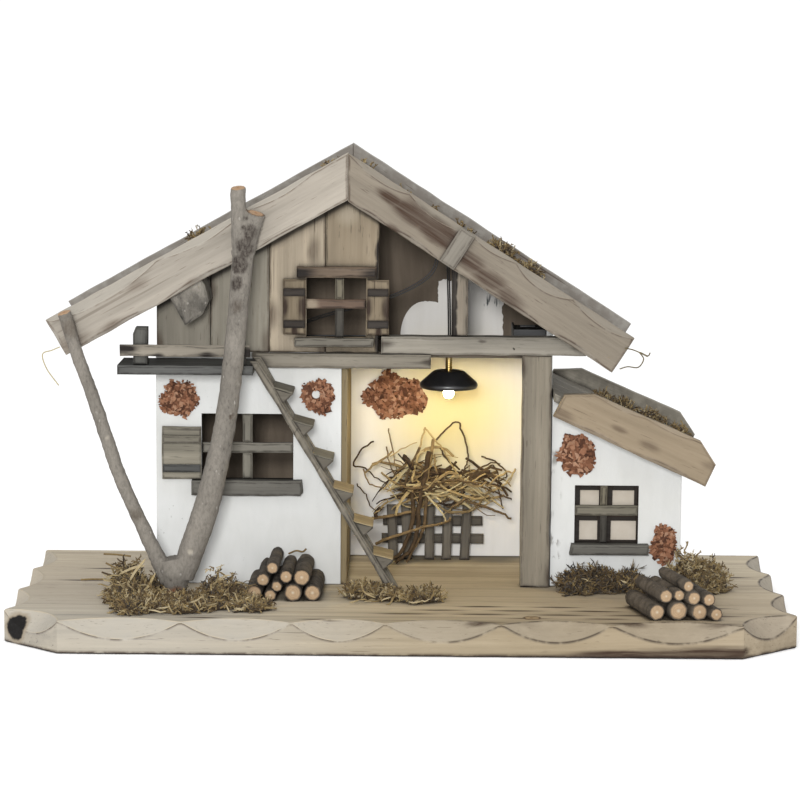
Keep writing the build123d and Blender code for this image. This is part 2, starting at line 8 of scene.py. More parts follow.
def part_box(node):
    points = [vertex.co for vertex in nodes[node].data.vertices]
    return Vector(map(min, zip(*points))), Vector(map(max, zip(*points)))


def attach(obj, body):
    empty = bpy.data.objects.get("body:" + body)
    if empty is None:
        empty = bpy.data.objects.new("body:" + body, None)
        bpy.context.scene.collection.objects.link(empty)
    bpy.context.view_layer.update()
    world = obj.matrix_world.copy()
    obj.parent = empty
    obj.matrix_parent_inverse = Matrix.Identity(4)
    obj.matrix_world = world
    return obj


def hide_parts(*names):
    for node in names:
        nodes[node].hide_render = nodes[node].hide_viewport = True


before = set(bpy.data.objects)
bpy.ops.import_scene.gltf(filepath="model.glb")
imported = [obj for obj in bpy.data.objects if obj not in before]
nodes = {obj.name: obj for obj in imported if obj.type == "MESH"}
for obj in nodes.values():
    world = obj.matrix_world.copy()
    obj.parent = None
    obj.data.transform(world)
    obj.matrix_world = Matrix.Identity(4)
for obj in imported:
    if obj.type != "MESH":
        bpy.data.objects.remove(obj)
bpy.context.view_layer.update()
mm = 0.001
paintLevel = 0.42  # paints are picked as they look lit, and the studio is brighter than one
plasterLevel = 0.5
backLevel = 0.6


def boxOf(node):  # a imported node's left, right, front, back, foot and top in mm
    low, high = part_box(node)
    return [round(v / mm, 3) for pair in zip(low, high) for v in pair]


boardTop = boxOf("base_board")[5]
wallFace = boxOf("left_front_wall")[2]
backFace = boxOf("back_wall")[2]
print("frame loaded:", len(nodes), "nodes")

# camera, fitted to the photograph
camera = {"lens": 123.33, "place": (7.0, -2133.2, 460.9), "yaw": -0.24, "pitch": 7.67, "roll": 0.43}


def makeCamera(look):
    yaw, pitch, roll = (math.radians(look[key]) for key in ("yaw", "pitch", "roll"))
    ahead = Vector((math.sin(yaw) * math.cos(pitch), math.cos(yaw) * math.cos(pitch), -math.sin(pitch)))
    right = Vector((math.cos(yaw), -math.sin(yaw), 0))
    up = right.cross(ahead)
    side = right * math.cos(roll) + up * math.sin(roll)
    top = up * math.cos(roll) - right * math.sin(roll)
    data = bpy.data.cameras.new("camera")
    data.lens = look["lens"]
    data.sensor_width = 36
    data.clip_start, data.clip_end = 0.05, 100
    cam = bpy.data.objects.new("camera", data)
    turn = Matrix((side, top, -ahead)).transposed().to_4x4()
    cam.matrix_world = Matrix.Translation(Vector(look["place"]) * mm) @ turn
    bpy.context.scene.collection.objects.link(cam)
    bpy.context.scene.camera = cam


makeCamera(camera)
bpy.context.scene.view_settings.view_transform = "Standard"


# paint helpers
def rgb(r, g, b, level=paintLevel):  # a screen colour as Blender's linear one
    linear = [c / 3294.6 if c < 11 else ((c / 255 + 0.055) / 1.055) ** 2.4 for c in (r, g, b)]
    return tuple(level * c for c in linear) + (1,)


def tone(value):
    return (value, value, value, 1)


def scaled(colour, share):
    return tuple(min(1.0, c * share) for c in colour[:3]) + (1,)


def put(tree, kind, inputs=None, **props):
    node = tree.nodes.new("ShaderNode" + kind)
    for key, value in props.items():
        setattr(node, key, value)
    for key, value in (inputs or {}).items():
        if isinstance(value, bpy.types.NodeSocket):
            tree.links.new(value, node.inputs[key])
        else:
            node.inputs[key].default_value = value
    return node


def mix(tree, amount, first, second, blend="MIX"):
    return put(tree, "Mix", {0: amount, 6: first, 7: second}, data_type="RGBA", blend_type=blend).outputs[2]


def calc(tree, how, first, second=0.0, clamp=False):
    return put(tree, "Math", {0: first, 1: second}, operation=how, use_clamp=clamp).outputs[0]


def times(tree, first, second):
    return calc(tree, "MULTIPLY", first, second)


def ramp(tree, value, *stops):
    node = put(tree, "ValToRGB", {"Fac": value})
    marks = node.color_ramp.elements
    marks[0].position, marks[0].color = stops[0]
    marks[1].position, marks[1].color = stops[-1]
    for place, colour in stops[1:-1]:
        marks.new(place).color = colour
    return node.outputs[0]


def fade(tree, value, low, high):  # 0 below low, 1 above high
    return put(tree, "MapRange", {0: value, 1: low, 2: high}, interpolation_type="SMOOTHSTEP").outputs[0]


def stretch(tree, vector, scale):
    return put(tree, "VectorMath", {0: vector, 1: scale}, operation="MULTIPLY").outputs[0]


def noiseOf(tree, vector, scale=1.0, detail=4.0, roughness=0.55, distortion=0.0):
    inputs = {"Vector": vector, "Scale": scale, "Detail": detail, "Roughness": roughness,
              "Distortion": distortion}
    return put(tree, "TexNoise", inputs).outputs[0]


def bumpOf(tree, height, strength, distance, under=None):
    inputs = {"Height": height, "Strength": strength, "Distance": distance}
    if under:
        inputs["Normal"] = under
    return put(tree, "Bump", inputs).outputs[0]


def marked(tree, name):  # a value painted on the mesh by its maker
    return put(tree, "Attribute", attribute_name=name).outputs["Fac"]


def ragged(tree, place, scale, reach):  # the place, shifted about so that painted edges run unevenly
    shift = put(tree, "TexNoise", {"Vector": place, "Scale": scale, "Detail": 3.0}).outputs[1]
    centred = put(tree, "VectorMath", {0: shift, 1: (0.5, 0.5, 0.5)}, operation="SUBTRACT").outputs[0]
    moved = stretch(tree, centred, (reach * mm,) * 3)
    return put(tree, "VectorMath", {0: place, 1: moved}, operation="ADD").outputs[0]


def near(tree, place, point, inner, outer):  # 1 within inner mm of a point, 0 beyond outer mm
    gap = put(tree, "VectorMath", {0: place, 1: Vector(point) * mm}, operation="DISTANCE").outputs["Value"]
    return fade(tree, gap, outer * mm, inner * mm)


def nearAny(tree, place, zones):
    amount = near(tree, place, *zones[0])
    for zone in zones[1:]:
        amount = calc(tree, "MAXIMUM", amount, near(tree, place, *zone))
    return amount


def startMaterial(name, sockets):
    mat = bpy.data.materials.new(name)
    mat.use_nodes = True
    tree = mat.node_tree
    shader = tree.nodes["Principled BSDF"]
    for key, value in sockets.items():
        shader.inputs[key].default_value = value
    return mat, tree, put(tree, "TexCoord").outputs["Object"]


def wire(tree, colour, relief=None, gloss=None):  # links what a finish worked out to its shader
    shader = tree.nodes["Principled BSDF"]
    for key, value in (("Base Color", colour), ("Normal", relief), ("Roughness", gloss)):
        if value is not None:
            tree.links.new(value, shader.inputs[key])


# how densely the marks in wood come, along the grain and across it
grainScale = {"fine": (16, 380, 380), "pores": (60, 850, 850), "cloud": (9, 20, 20),
              "cracks": (7, 300, 300)}


def wood(name, paint, turn=0.0, seed=0.0, streak=0.2, fibre=0.42, blotch=0.18, burnt=(84, 62, 46), cut=None,
         worn=0.6, bands=(3.2, 48, 48), spots=(), scorch=(), char=0.85, tints=(), topHighlight=1.0, rimBurn=None,
         cornerShade=0.92, cracked=0.7, drawn=0.4, uneven=4, eaveShadows=()):
    mat, tree, place = startMaterial(name, {"Specular IOR Level": 0.22})
    turned = put(tree, "Mapping", {"Vector": place, "Location": (seed, seed * 0.37, seed * 0.71),
                                   "Rotation": (0, math.radians(turn), 0)}).outputs[0]
    broad = noiseOf(tree, stretch(tree, turned, bands), 1, 4, 0.55, 0.9)
    fine = noiseOf(tree, stretch(tree, turned, grainScale["fine"]), 1, 6, 0.65, 0.3)
    pores = noiseOf(tree, stretch(tree, turned, grainScale["pores"]), 1, 3, 0.6)
    cloud = noiseOf(tree, stretch(tree, turned, grainScale["cloud"]), 1, 3)
    colour = ramp(tree, broad, (0.3, scaled(rgb(*paint), 1 - 1.3 * streak)), (0.5, rgb(*paint)),
                  (0.7, scaled(rgb(*paint), 1 + streak)))
    colour = mix(tree, fibre, colour, ramp(tree, fine, (0.3, tone(0.55)), (0.62, tone(1.0))), "MULTIPLY")
    colour = mix(tree, times(tree, fade(tree, cloud, 0.5, 0.78), blotch), colour, rgb(*burnt))
    cracks = noiseOf(tree, stretch(tree, turned, grainScale["cracks"]), 1, 2, 0.5, 0.4)
    split = times(tree, fade(tree, cracks, 0.67, 0.72), cracked)
    colour = mix(tree, split, colour, scaled(rgb(*burnt), 0.8))
    rise = put(tree, "SeparateXYZ", {0: put(tree, "NewGeometry").outputs["Normal"]}).outputs[2]
    if topHighlight > 1:  # painted highlight: faces that look up are painted lighter, as if lit from above
        colour = mix(tree, fade(tree, rise, 0.8, 0.97), colour, tone(topHighlight), "MULTIPLY")
    if cut:
        facet = mix(tree, 0.3, rgb(*cut), ramp(tree, fine, (0.3, tone(0.6)), (0.62, tone(1.0))), "MULTIPLY")
        colour = mix(tree, times(tree, marked(tree, "carve"), 0.8), colour, facet)
    for point, inner, outer, stain, amount in tints:
        colour = mix(tree, times(tree, near(tree, place, point, inner, outer), amount), colour, rgb(*stain))
    if scorch:  # burns are drawn out along the grain
        about, squeeze = Matrix.Rotation(math.radians(turn), 3, "Y"), Vector((drawn, 1, 1))
        grain = put(tree, "Mapping", {"Vector": ragged(tree, place, 60, uneven),
                                      "Rotation": (0, math.radians(turn), 0)}).outputs[0]
        burns = [((about @ Vector(p)) * squeeze, a, b) for p, a, b in scorch]
        zones = nearAny(tree, stretch(tree, grain, squeeze), burns)
        smoke = times(tree, zones, ramp(tree, fine, (0.36, tone(1.0)), (0.68, tone(0.55))))
        colour = mix(tree, times(tree, smoke, char), colour, rgb(*burnt))
    colour = mix(tree, times(tree, fade(tree, pores, 0.62, 0.72), 0.5), colour, rgb(*burnt))
    # worn edges, painted pale where they face up as a painted highlight and dark where they face down as
    # painted shade
    edgeWearAndShading = mix(tree, fade(tree, rise, 0.05, 0.5), rgb(*burnt), scaled(rgb(*paint), 1.25))
    if rimBurn:  # towards one end the edges are singed all round
        along = put(tree, "SeparateXYZ", {0: place}).outputs[0]
        edgeWearAndShading = mix(tree, fade(tree, along, rimBurn[0] * mm, rimBurn[1] * mm), edgeWearAndShading,
                    scaled(rgb(*burnt), 0.6))
    edge = times(tree, marked(tree, "wear"), fade(tree, noiseOf(tree, place, 90, 4, 0.6), 0.3, 0.6))
    colour = mix(tree, times(tree, edge, worn), colour, edgeWearAndShading)
    # painted shade: darker in the corners and under what lies on the board, by ambient occlusion
    openness = put(tree, "AmbientOcclusion", {"Distance": 6 * mm}, samples=4).outputs["AO"]
    colour = mix(tree, times(tree, fade(tree, openness, 0.85, 0.3), cornerShade), colour, scaled(rgb(*burnt), 0.3))
    for normal, dark, clear in eaveShadows:  # painted shadow under the eaves, by the distance along a normal
        gap = put(tree, "VectorMath", {0: ragged(tree, place, 90, 2), 1: normal}, operation="DOT_PRODUCT")
        eaveShadow = fade(tree, gap.outputs["Value"], clear * mm, dark * mm)
        colour = mix(tree, times(tree, eaveShadow, 0.85), colour, rgb(38, 31, 25))
    for point, inner, outer, stain in spots:
        colour = mix(tree, near(tree, ragged(tree, place, 220, 4), point, inner, outer), colour, rgb(*stain))
    relief = bumpOf(tree, fine, 0.3, 0.0005)
    relief = bumpOf(tree, pores, 0.2, 0.0004, relief)
    relief = bumpOf(tree, broad, 0.2, 0.001, relief)
    wire(tree, colour, relief, ramp(tree, fine, (0.3, tone(0.86)), (0.7, tone(0.62))))
    return mat


def plaster(name, light=(246, 247, 245), shade=(236, 236, 232), fleck=(120, 112, 102), scuffs=(), stains=(),
            level=plasterLevel):
    mat, tree, place = startMaterial(name, {"Roughness": 0.88, "Specular IOR Level": 0.2})
    brush = noiseOf(tree, stretch(tree, place, (120, 120, 30)), 1, 5, 0.6, 0.8)
    cloud = noiseOf(tree, place, 14, 3)
    grit = noiseOf(tree, place, 420, 3, 0.6)
    colour = ramp(tree, cloud, (0.35, rgb(*shade, level)), (0.62, rgb(*light, level)))
    colour = mix(tree, 0.25, colour, ramp(tree, brush, (0.3, tone(0.84)), (0.6, tone(1.0))), "MULTIPLY")
    specks = times(tree, fade(tree, grit, 0.68, 0.75), fade(tree, cloud, 0.5, 0.62))
    if scuffs:
        rubbed = times(tree, nearAny(tree, place, scuffs), fade(tree, brush, 0.5, 0.55))
        specks = calc(tree, "MAXIMUM", specks, rubbed)
    colour = mix(tree, times(tree, specks, 0.65), colour, rgb(*fleck))
    for point, inner, outer, stain in stains:
        colour = mix(tree, near(tree, place, point, inner, outer), colour, rgb(*stain))
    relief = bumpOf(tree, brush, 0.4, 0.0008)
    wire(tree, colour, bumpOf(tree, grit, 0.15, 0.0004, relief))
    return mat


def toned(name, stops, roughness=0.85, rough=300.0, depth=0.0004, sheen=0.0):
    # strands and crumbs: the colour of each comes from its own tone
    sockets = {"Roughness": roughness, "Specular IOR Level": 0.2, "Sheen Weight": sheen}
    mat, tree, place = startMaterial(name, sockets)
    grit = noiseOf(tree, place, rough, 4, 0.6)
    shift = times(tree, calc(tree, "SUBTRACT", grit, 0.5), 0.5)
    value = calc(tree, "ADD", marked(tree, "tone"), shift, True)
    colour = ramp(tree, value, *[(at, rgb(*paint)) for at, paint in stops])
    wire(tree, colour, bumpOf(tree, grit, 0.5, depth))
    return mat


def bark(name, paint, speck, pit, scale=1.0, contrast=0.25, spots=()):
    mat, tree, place = startMaterial(name, {"Roughness": 0.88, "Specular IOR Level": 0.2})
    broad = noiseOf(tree, stretch(tree, place, (45, 45, 18)), scale, 4, 0.6, 0.6)
    fine = noiseOf(tree, stretch(tree, place, (520, 520, 260)), scale, 6, 0.7, 0.4)
    dots = put(tree, "TexVoronoi", {"Vector": stretch(tree, ragged(tree, place, 200, 3), (1, 1, 0.6)),
                                    "Scale": 190.0 * scale}).outputs["Distance"]
    colour = ramp(tree, broad, (0.3, scaled(rgb(*paint), 1 - 1.3 * contrast)), (0.5, rgb(*paint)),
                  (0.7, scaled(rgb(*paint), 1 + contrast)))
    colour = mix(tree, 0.65, colour, ramp(tree, fine, (0.32, tone(0.5)), (0.56, tone(1.0))), "MULTIPLY")
    some = fade(tree, noiseOf(tree, place, 70 * scale, 2), 0.46, 0.6)
    pale = times(tree, fade(tree, dots, 0.2, 0.1), some)
    colour = mix(tree, times(tree, pale, 0.7), colour, rgb(*speck))
    holes = times(tree, fade(tree, fine, 0.37, 0.31), fade(tree, broad, 0.56, 0.44))
    colour = mix(tree, times(tree, holes, 0.8), colour, rgb(*pit))
    for point, inner, outer, stain in spots:
        zone = times(tree, near(tree, ragged(tree, place, 110, 7), point, inner, outer),
                    ramp(tree, fine, (0.35, tone(1.0)), (0.6, tone(0.55))))
        colour = mix(tree, zone, colour, rgb(*stain))
    relief = bumpOf(tree, fine, 0.8, 0.0008)
    wire(tree, colour, bumpOf(tree, pale, 0.4, 0.0008, relief))
    return mat


def endGrain(name, paint, heart, rim):
    # sawn end of a round stick: rings follow the painted share of the radius
    mat, tree, place = startMaterial(name, {"Roughness": 0.8, "Specular IOR Level": 0.2})
    grit = noiseOf(tree, place, 380, 4, 0.6)
    share = calc(tree, "ADD", marked(tree, "ring"), times(tree, calc(tree, "SUBTRACT", grit, 0.5), 0.3))
    rings = calc(tree, "SINE", times(tree, share, 30.0))
    colour = ramp(tree, share, (0.08, rgb(*heart)), (0.24, rgb(*paint)), (0.72, rgb(*paint)),
                  (0.98, rgb(*rim)))
    colour = mix(tree, 0.35, colour, ramp(tree, rings, (0.0, tone(0.7)), (0.9, tone(1.0))), "MULTIPLY")
    colour = mix(tree, 0.5, colour, ramp(tree, grit, (0.3, tone(0.65)), (0.6, tone(1.0))), "MULTIPLY")
    wire(tree, colour, bumpOf(tree, grit, 0.4, 0.0004))
    return mat


def smooth(name, paint, shade, roughness, rough=500.0, depth=0.0001, sockets=None):
    # metal, plastic and rubber: a fine surface with slight wear in colour and gloss
    mat, tree, place = startMaterial(name, sockets or {})
    grit = noiseOf(tree, place, rough, 3, 0.6)
    cloud = noiseOf(tree, place, 60, 4, 0.6)
    colour = ramp(tree, cloud, (0.35, rgb(*shade)), (0.65, rgb(*paint)))
    gloss = ramp(tree, cloud, (0.3, tone(roughness * 0.85)), (0.7, tone(roughness * 1.1)))
    wire(tree, colour, bumpOf(tree, grit, 0.3, depth), gloss)
    return mat


# mesh helpers
def settle(mesh, sharp=32):
    for face in mesh.polygons:
        face.use_smooth = True
    mesh.set_sharp_from_angle(angle=math.radians(sharp))


def piece(name, mesh, mats, stands=(), slot=None, body="stable"):
    obj = bpy.data.objects.new(name, mesh)
    bpy.context.scene.collection.objects.link(obj)
    for mat in mats:
        mesh.materials.append(mat)
    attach(obj, body)
    if stands:
        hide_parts(*stands)
    return obj


def outwardFaces(mesh):
    work = bmesh.new()
    work.from_mesh(mesh)
    bmesh.ops.recalc_face_normals(work, faces=work.faces)
    work.to_mesh(mesh)
    work.free()


def carvedMesh(name, outline, front, back, edge=0.7, backEdge=0.5, facets=(), step=4.0, wobble=0.25,
               slope=0.8, axes="front", seed=0.0, blur=1.4):
    # a board from its outline: worn edges, and lens-shaped facets carved along its front edges
    flip = 1 if back > front else -1
    depth = abs(back - front)

    def placed(u, v, t):
        w = front + flip * t
        return Vector({"front": (u, w, v), "top": (u, v, w), "side": (w, u, v)}[axes]) * mm

    pairs = list(zip(outline, outline[1:] + outline[:1]))
    area = sum(a[0] * b[1] - b[0] * a[1] for a, b in pairs) / 2
    width = abs(area) / max((Vector(b) - Vector(a)).length for a, b in pairs)
    inward = 1 if area > 0 else -1
    clear = 1.7 * edge + blur + 0.6
    marks = []
    for number, (a, b) in enumerate(pairs):
        run = Vector(b) - Vector(a)
        normal = Vector((-run.y, run.x)).normalized() * inward
        count = max(1, round(run.length / step))
        for j in range(count):
            if j == 0 or clear < run.length * j / count < run.length - clear:
                marks.append((Vector(a) + run * (j / count), normal, number, j / count))
    ring = []
    for k, (point, normal, number, share) in enumerate(marks):
        before = marks[k - 1][1]
        mitre = (normal + before) / max(0.4, 1 + normal.dot(before))
        shift = noise.noise(Vector((point.x * 0.05, point.y * 0.05, seed))) * wobble
        lens = 0.0
        for line, start, end, size in facets:
            if line == number and start < share < end:
                lens = max(lens, size * (1 - ((share - (start + end) / 2) / ((end - start) / 2)) ** 2))
        soft = edge * (1 + 0.6 * noise.noise(Vector((point.x * 0.11, point.y * 0.11, seed + 7))))
        ring.append((point + mitre * shift, mitre, min(max(soft, lens), 0.4 * width), min(1.0, lens / 2.5)))
    verts, wear, carve = [], [], []

    def loop(inset, deep, worn, cutIn):
        for point, mitre, bite, lens in ring:
            where = point + mitre * inset(bite)
            verts.append(placed(where.x, where.y, deep(bite)))
            wear.append(worn)
            carve.append(lens * cutIn)

    def drop(bite):
        return min(depth * 0.62, bite * slope)

    def rim(bite):
        return min(0.3, 0.9 / max(bite, 0.1))

    gap = min(blur, depth * 0.12)
    loop(lambda b: backEdge, lambda b: depth, 0.6, 0)
    loop(lambda b: 0, lambda b: depth - backEdge, 1, 0)
    loop(lambda b: 0, lambda b: depth - backEdge - gap, 0, 0)
    loop(lambda b: 0, lambda b: drop(b) + gap, 0, 0)
    loop(lambda b: 0, drop, 1, 1)
    loop(lambda b: b * rim(b), lambda b: drop(b) * (1 - rim(b)), 0.1, 1)
    loop(lambda b: b * (1 - rim(b)), lambda b: drop(b) * rim(b), 0.1, 1)
    loop(lambda b: b, lambda b: 0, 1, 1)
    loop(lambda b: min(b + blur, 0.46 * width), lambda b: 0, 0, 0)
    n, layers = len(ring), 9
    faces = [tuple(range(n)), tuple(range((layers - 1) * n, layers * n))]
    for layer in range(layers - 1):
        for k in range(n):
            j = (k + 1) % n
            faces.append((layer * n + k, layer * n + j, (layer + 1) * n + j, (layer + 1) * n + k))
    mesh = bpy.data.meshes.new(name)
    mesh.from_pydata(verts, [], faces)
    outwardFaces(mesh)
    for label, values in (("wear", wear), ("carve", carve)):
        mesh.attributes.new(label, "FLOAT", "POINT").data.foreach_set("value", values)
    settle(mesh)
    return mesh


def carved(name, outline, front, back, mat, stands=(), slot="weathered_timber", **shape):
    return piece(name, carvedMesh(name, outline, front, back, **shape), [mat], stands, slot)


def rect(left, right, low, high):
    return [(left, low), (right, low), (right, high), (left, high)]


def boxed(name, node, mat, slot="weathered_timber", **shape):
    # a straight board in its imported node's own box
    left, right, front, back, foot, top = boxOf(node)
    return carved(name, rect(left, right, foot, top), front, back, mat, [node], slot, **shape)


def softened(name, node, mats, width=0.7, slot=None, pick=None):
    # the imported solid's own shape with its edges worn round
    work = bmesh.new()
    work.from_mesh(nodes[node].data)
    bmesh.ops.remove_doubles(work, verts=work.verts, dist=1e-6)
    bmesh.ops.dissolve_limit(work, angle_limit=0.02, verts=work.verts, edges=work.edges)
    work.verts.index_update()
    verts = [v.co.copy() for v in work.verts]
    faces = [[v.index for v in face.verts] for face in work.faces]
    chosen = [pick(face.calc_center_median() / mm, face.normal) if pick else 0 for face in work.faces]
    work.free()
    mesh = bpy.data.meshes.new(name)
    mesh.from_pydata(verts, [], faces)
    mesh.polygons.foreach_set("material_index", chosen)
    obj = piece(name, mesh, mats, [node], slot)
    worn = obj.modifiers.new("wornEdges", "BEVEL")
    worn.width = width * mm
    worn.segments = 2
    worn.limit_method = "ANGLE"
    worn.angle_limit = math.radians(28)
    settle(mesh)
    return obj


def newStore():
    return {"verts": [], "faces": [], "tone": []}


def strand(store, points, radii, shade, sides=4):
    verts, faces = store["verts"], store["faces"]
    start, side = len(verts), None
    for i, point in enumerate(points):
        ahead = (points[min(i + 1, len(points) - 1)] - points[max(i - 1, 0)]).normalized()
        side = ahead.orthogonal() if side is None else side
        side = (side - ahead * side.dot(ahead)).normalized()
        up = ahead.cross(side)
        for k in range(sides):
            angle = 2 * math.pi * k / sides
            verts.append((point + (side * math.cos(angle) + up * math.sin(angle)) * radii[i]) * mm)
            store["tone"].append(shade)
    for i in range(len(points) - 1):
        for k in range(sides):
            a, b = start + i * sides + k, start + i * sides + (k + 1) % sides
            faces.append((a, b, b + sides, a + sides))
    last = len(verts) - sides
    faces.append(tuple(range(start + sides - 1, start - 1, -1)))
    faces.append(tuple(range(last, last + sides)))


def stored(name, store, mats, stands, slot, sharp=60):
    mesh = bpy.data.meshes.new(name)
    mesh.from_pydata(store["verts"], [], store["faces"])
    mesh.attributes.new("tone", "FLOAT", "POINT").data.foreach_set("value", store["tone"])
    settle(mesh, sharp)
    return piece(name, mesh, mats, stands, slot)


def curveThrough(points, steps):  # a smooth run through the given points
    ends = [points[0] * 2 - points[1]] + points + [points[-1] * 2 - points[-2]]
    out = []
    for a, b, c, d in zip(ends, ends[1:], ends[2:], ends[3:]):
        for k in range(steps):
            t = k / steps
            bend = (2 * a - 5 * b + 4 * c - d) * t * t + (3 * b - a - 3 * c + d) * t ** 3
            out.append(0.5 * (2 * b + (c - a) * t + bend))
    return out + [points[-1]]


def wander(rng, spread=1.0):
    return Vector([rng.gauss(0, spread) for _ in range(3)])


# finishes used by several pieces
ridge, annexPeak = (-42.5, 369), (147, 184)
leftPitch, rightPitch, annexPitch = 29.3, 32.5, 24.0
tieWood = wood("tieWood", (177, 170, 156), seed=7.4, burnt=(60, 50, 41),
               spots=[((86.9, -4, 215.1), 0.7, 1.4, (52, 42, 34))],
               scorch=[((-16, -4, 218), 1, 5), ((62, -4, 221), 0.5, 2), ((142, -4, 216), 1, 5)])
lintelWood = wood("lintelWood", (160, 152, 137), seed=7.9, burnt=(60, 50, 41),
                  scorch=[((22, -6, 204), 1, 4), ((-114, -6, 204), 1, 6)])
upright = wood("upright", (166, 156, 138), turn=90, seed=6.2, burnt=(72, 58, 46),
               scorch=[((117, -2, 34), 1, 6), ((94, -2, 200), 1, 5)])
charred = wood("charred", (103, 103, 100), seed=8.1, burnt=(34, 30, 27), worn=0.85, blotch=0.4, streak=0.25)
charredUp = wood("charredUp", (106, 105, 99), turn=90, seed=8.6, burnt=(34, 30, 27), worn=0.85, blotch=0.4,
                 streak=0.25)
# dark lining for the window openings: their own dark edges, and painted shade in their depth
darkLiningAndShade = wood("darkLiningAndShade", (48, 43, 37), worn=0.2, seed=3.1)
olive = wood("olive", (142, 134, 114), turn=90, seed=13.7, burnt=(44, 36, 29), worn=0.95)
oliveLevel = wood("oliveLevel", (140, 134, 118), seed=13.1, burnt=(44, 36, 29), worn=0.95)
taupe = wood("taupe", (124, 112, 97), seed=12.1, fibre=0.25)
print("finishes ready")

# base board: scoops carved all along its upper edge
base = {"in": (255, 100), "scoop": 13.5, "paint": (208, 194, 168), "cut": (216, 207, 190),
        "frontCusps": (-255, -163, -81, -11, 75, 157, 255), "sideCusps": (-100, -24, 58, 136),
        "burntLines": ((-77, 62, 3.6), (-91, 30, 4.2), (-105, 4, 4.4), (-118, 96, 3.4), (-133, 56, 4.6))}


def makeBase(look):
    lines = [((x, y, boardTop), 0.4, reach) for y, first, reach in look["burntLines"]
             for x in range(first, 260, 58)]
    pine = wood("basePine", look["paint"], burnt=(74, 53, 38), cut=look["cut"], worn=0.92, streak=0.28,
                fibre=0.36, bands=(1.4, 44, 44), blotch=0.14, char=1.15, topHighlight=1.55, rimBurn=(-60, 100),
                cracked=0.7, drawn=0.13, uneven=1.5,
                # the two pale tints lighten the board towards its left end, painted light; the two dark ones
                # at y 127 are painted shade along the stall's back wall
                tints=[((-280, -130, 10), 80, 300, (218, 213, 202), 0.5),
                       ((-240, 20, 25), 50, 150, (238, 220, 192), 0.5),
                       ((270, -120, 10), 60, 220, (180, 158, 128), 0.4),
                       ((100, -60, 25), 70, 220, (172, 151, 115), 0.5),
                       ((20, 127, 25), 12, 46, (92, 84, 66), 0.7),
                       ((75, 127, 25), 12, 46, (92, 84, 66), 0.7)],
                spots=[((-288, -106, 12), 10, 14, (186, 172, 150)),
                       ((-288, -106, 12), 8.6, 10.6, (18, 14, 11)),
                       ((98.8, -116, 25), 6, 7.6, (104, 78, 54)),
                       ((98.8, -116, 25), 4.6, 6, (186, 160, 122)),
                       ((98.8, -116, 25), 0.8, 2.2, (120, 90, 62))],
                scorch=lines + [((168, -140, 0), 4, 8), ((212, -140, 0), 5, 10), ((238, -140, 5), 2, 7),
                                ((262, 44, 25), 1, 4), ((-150, -124, 25), 0.5, 3),
                                ((-60, -127, 25), 0.6, 3), ((-250, 12, 25), 0.6, 4),
                                ((-236, 60, 25), 0.5, 4)])
    left, x, front, y, foot, top = boxOf("base_board")
    inX, inY = look["in"]
    outline = [(-x, y), (-x, -inY), (-inX, -y), (inX, -y), (x, -inY), (x, y)]
    facets = [(1, -0.02, 1.02, look["scoop"]), (3, -0.02, 1.02, look["scoop"])]
    cusps = look["frontCusps"]
    for left, right in zip(cusps, cusps[1:]):
        facets.append((2, (left + inX) / (2 * inX), (right + inX) / (2 * inX), look["scoop"]))
    long = y + inY
    for low, high in zip(look["sideCusps"], look["sideCusps"][1:]):
        facets.append((0, (y - high) / long, (y - low) / long, look["scoop"]))
        facets.append((4, (low + inY) / long, (high + inY) / long, look["scoop"]))
    carved("baseBoard", outline, top, foot, pine, ["base_board"], "base_pine", axes="top", edge=0.8,
           backEdge=1.0, facets=facets, step=2.5, wobble=0.5, slope=1.0, blur=2.0)


makeBase(base)
print("base board carved")

# walls and floors
windows = {}
for side in ("left", "gable", "annex"):
    left, right, front, back, low, high = boxOf(side + "_window_bars")
    windows[side] = (left, right, low, high)


def inHole(window):
    left, right, low, high = windows[window]

    def pick(centre, normal):
        flat = left - 0.5 < centre.x < right + 0.5 and low - 0.5 < centre.z < high + 0.5
        return 1 if flat and abs(normal.y) < 0.5 else 0
    return pick


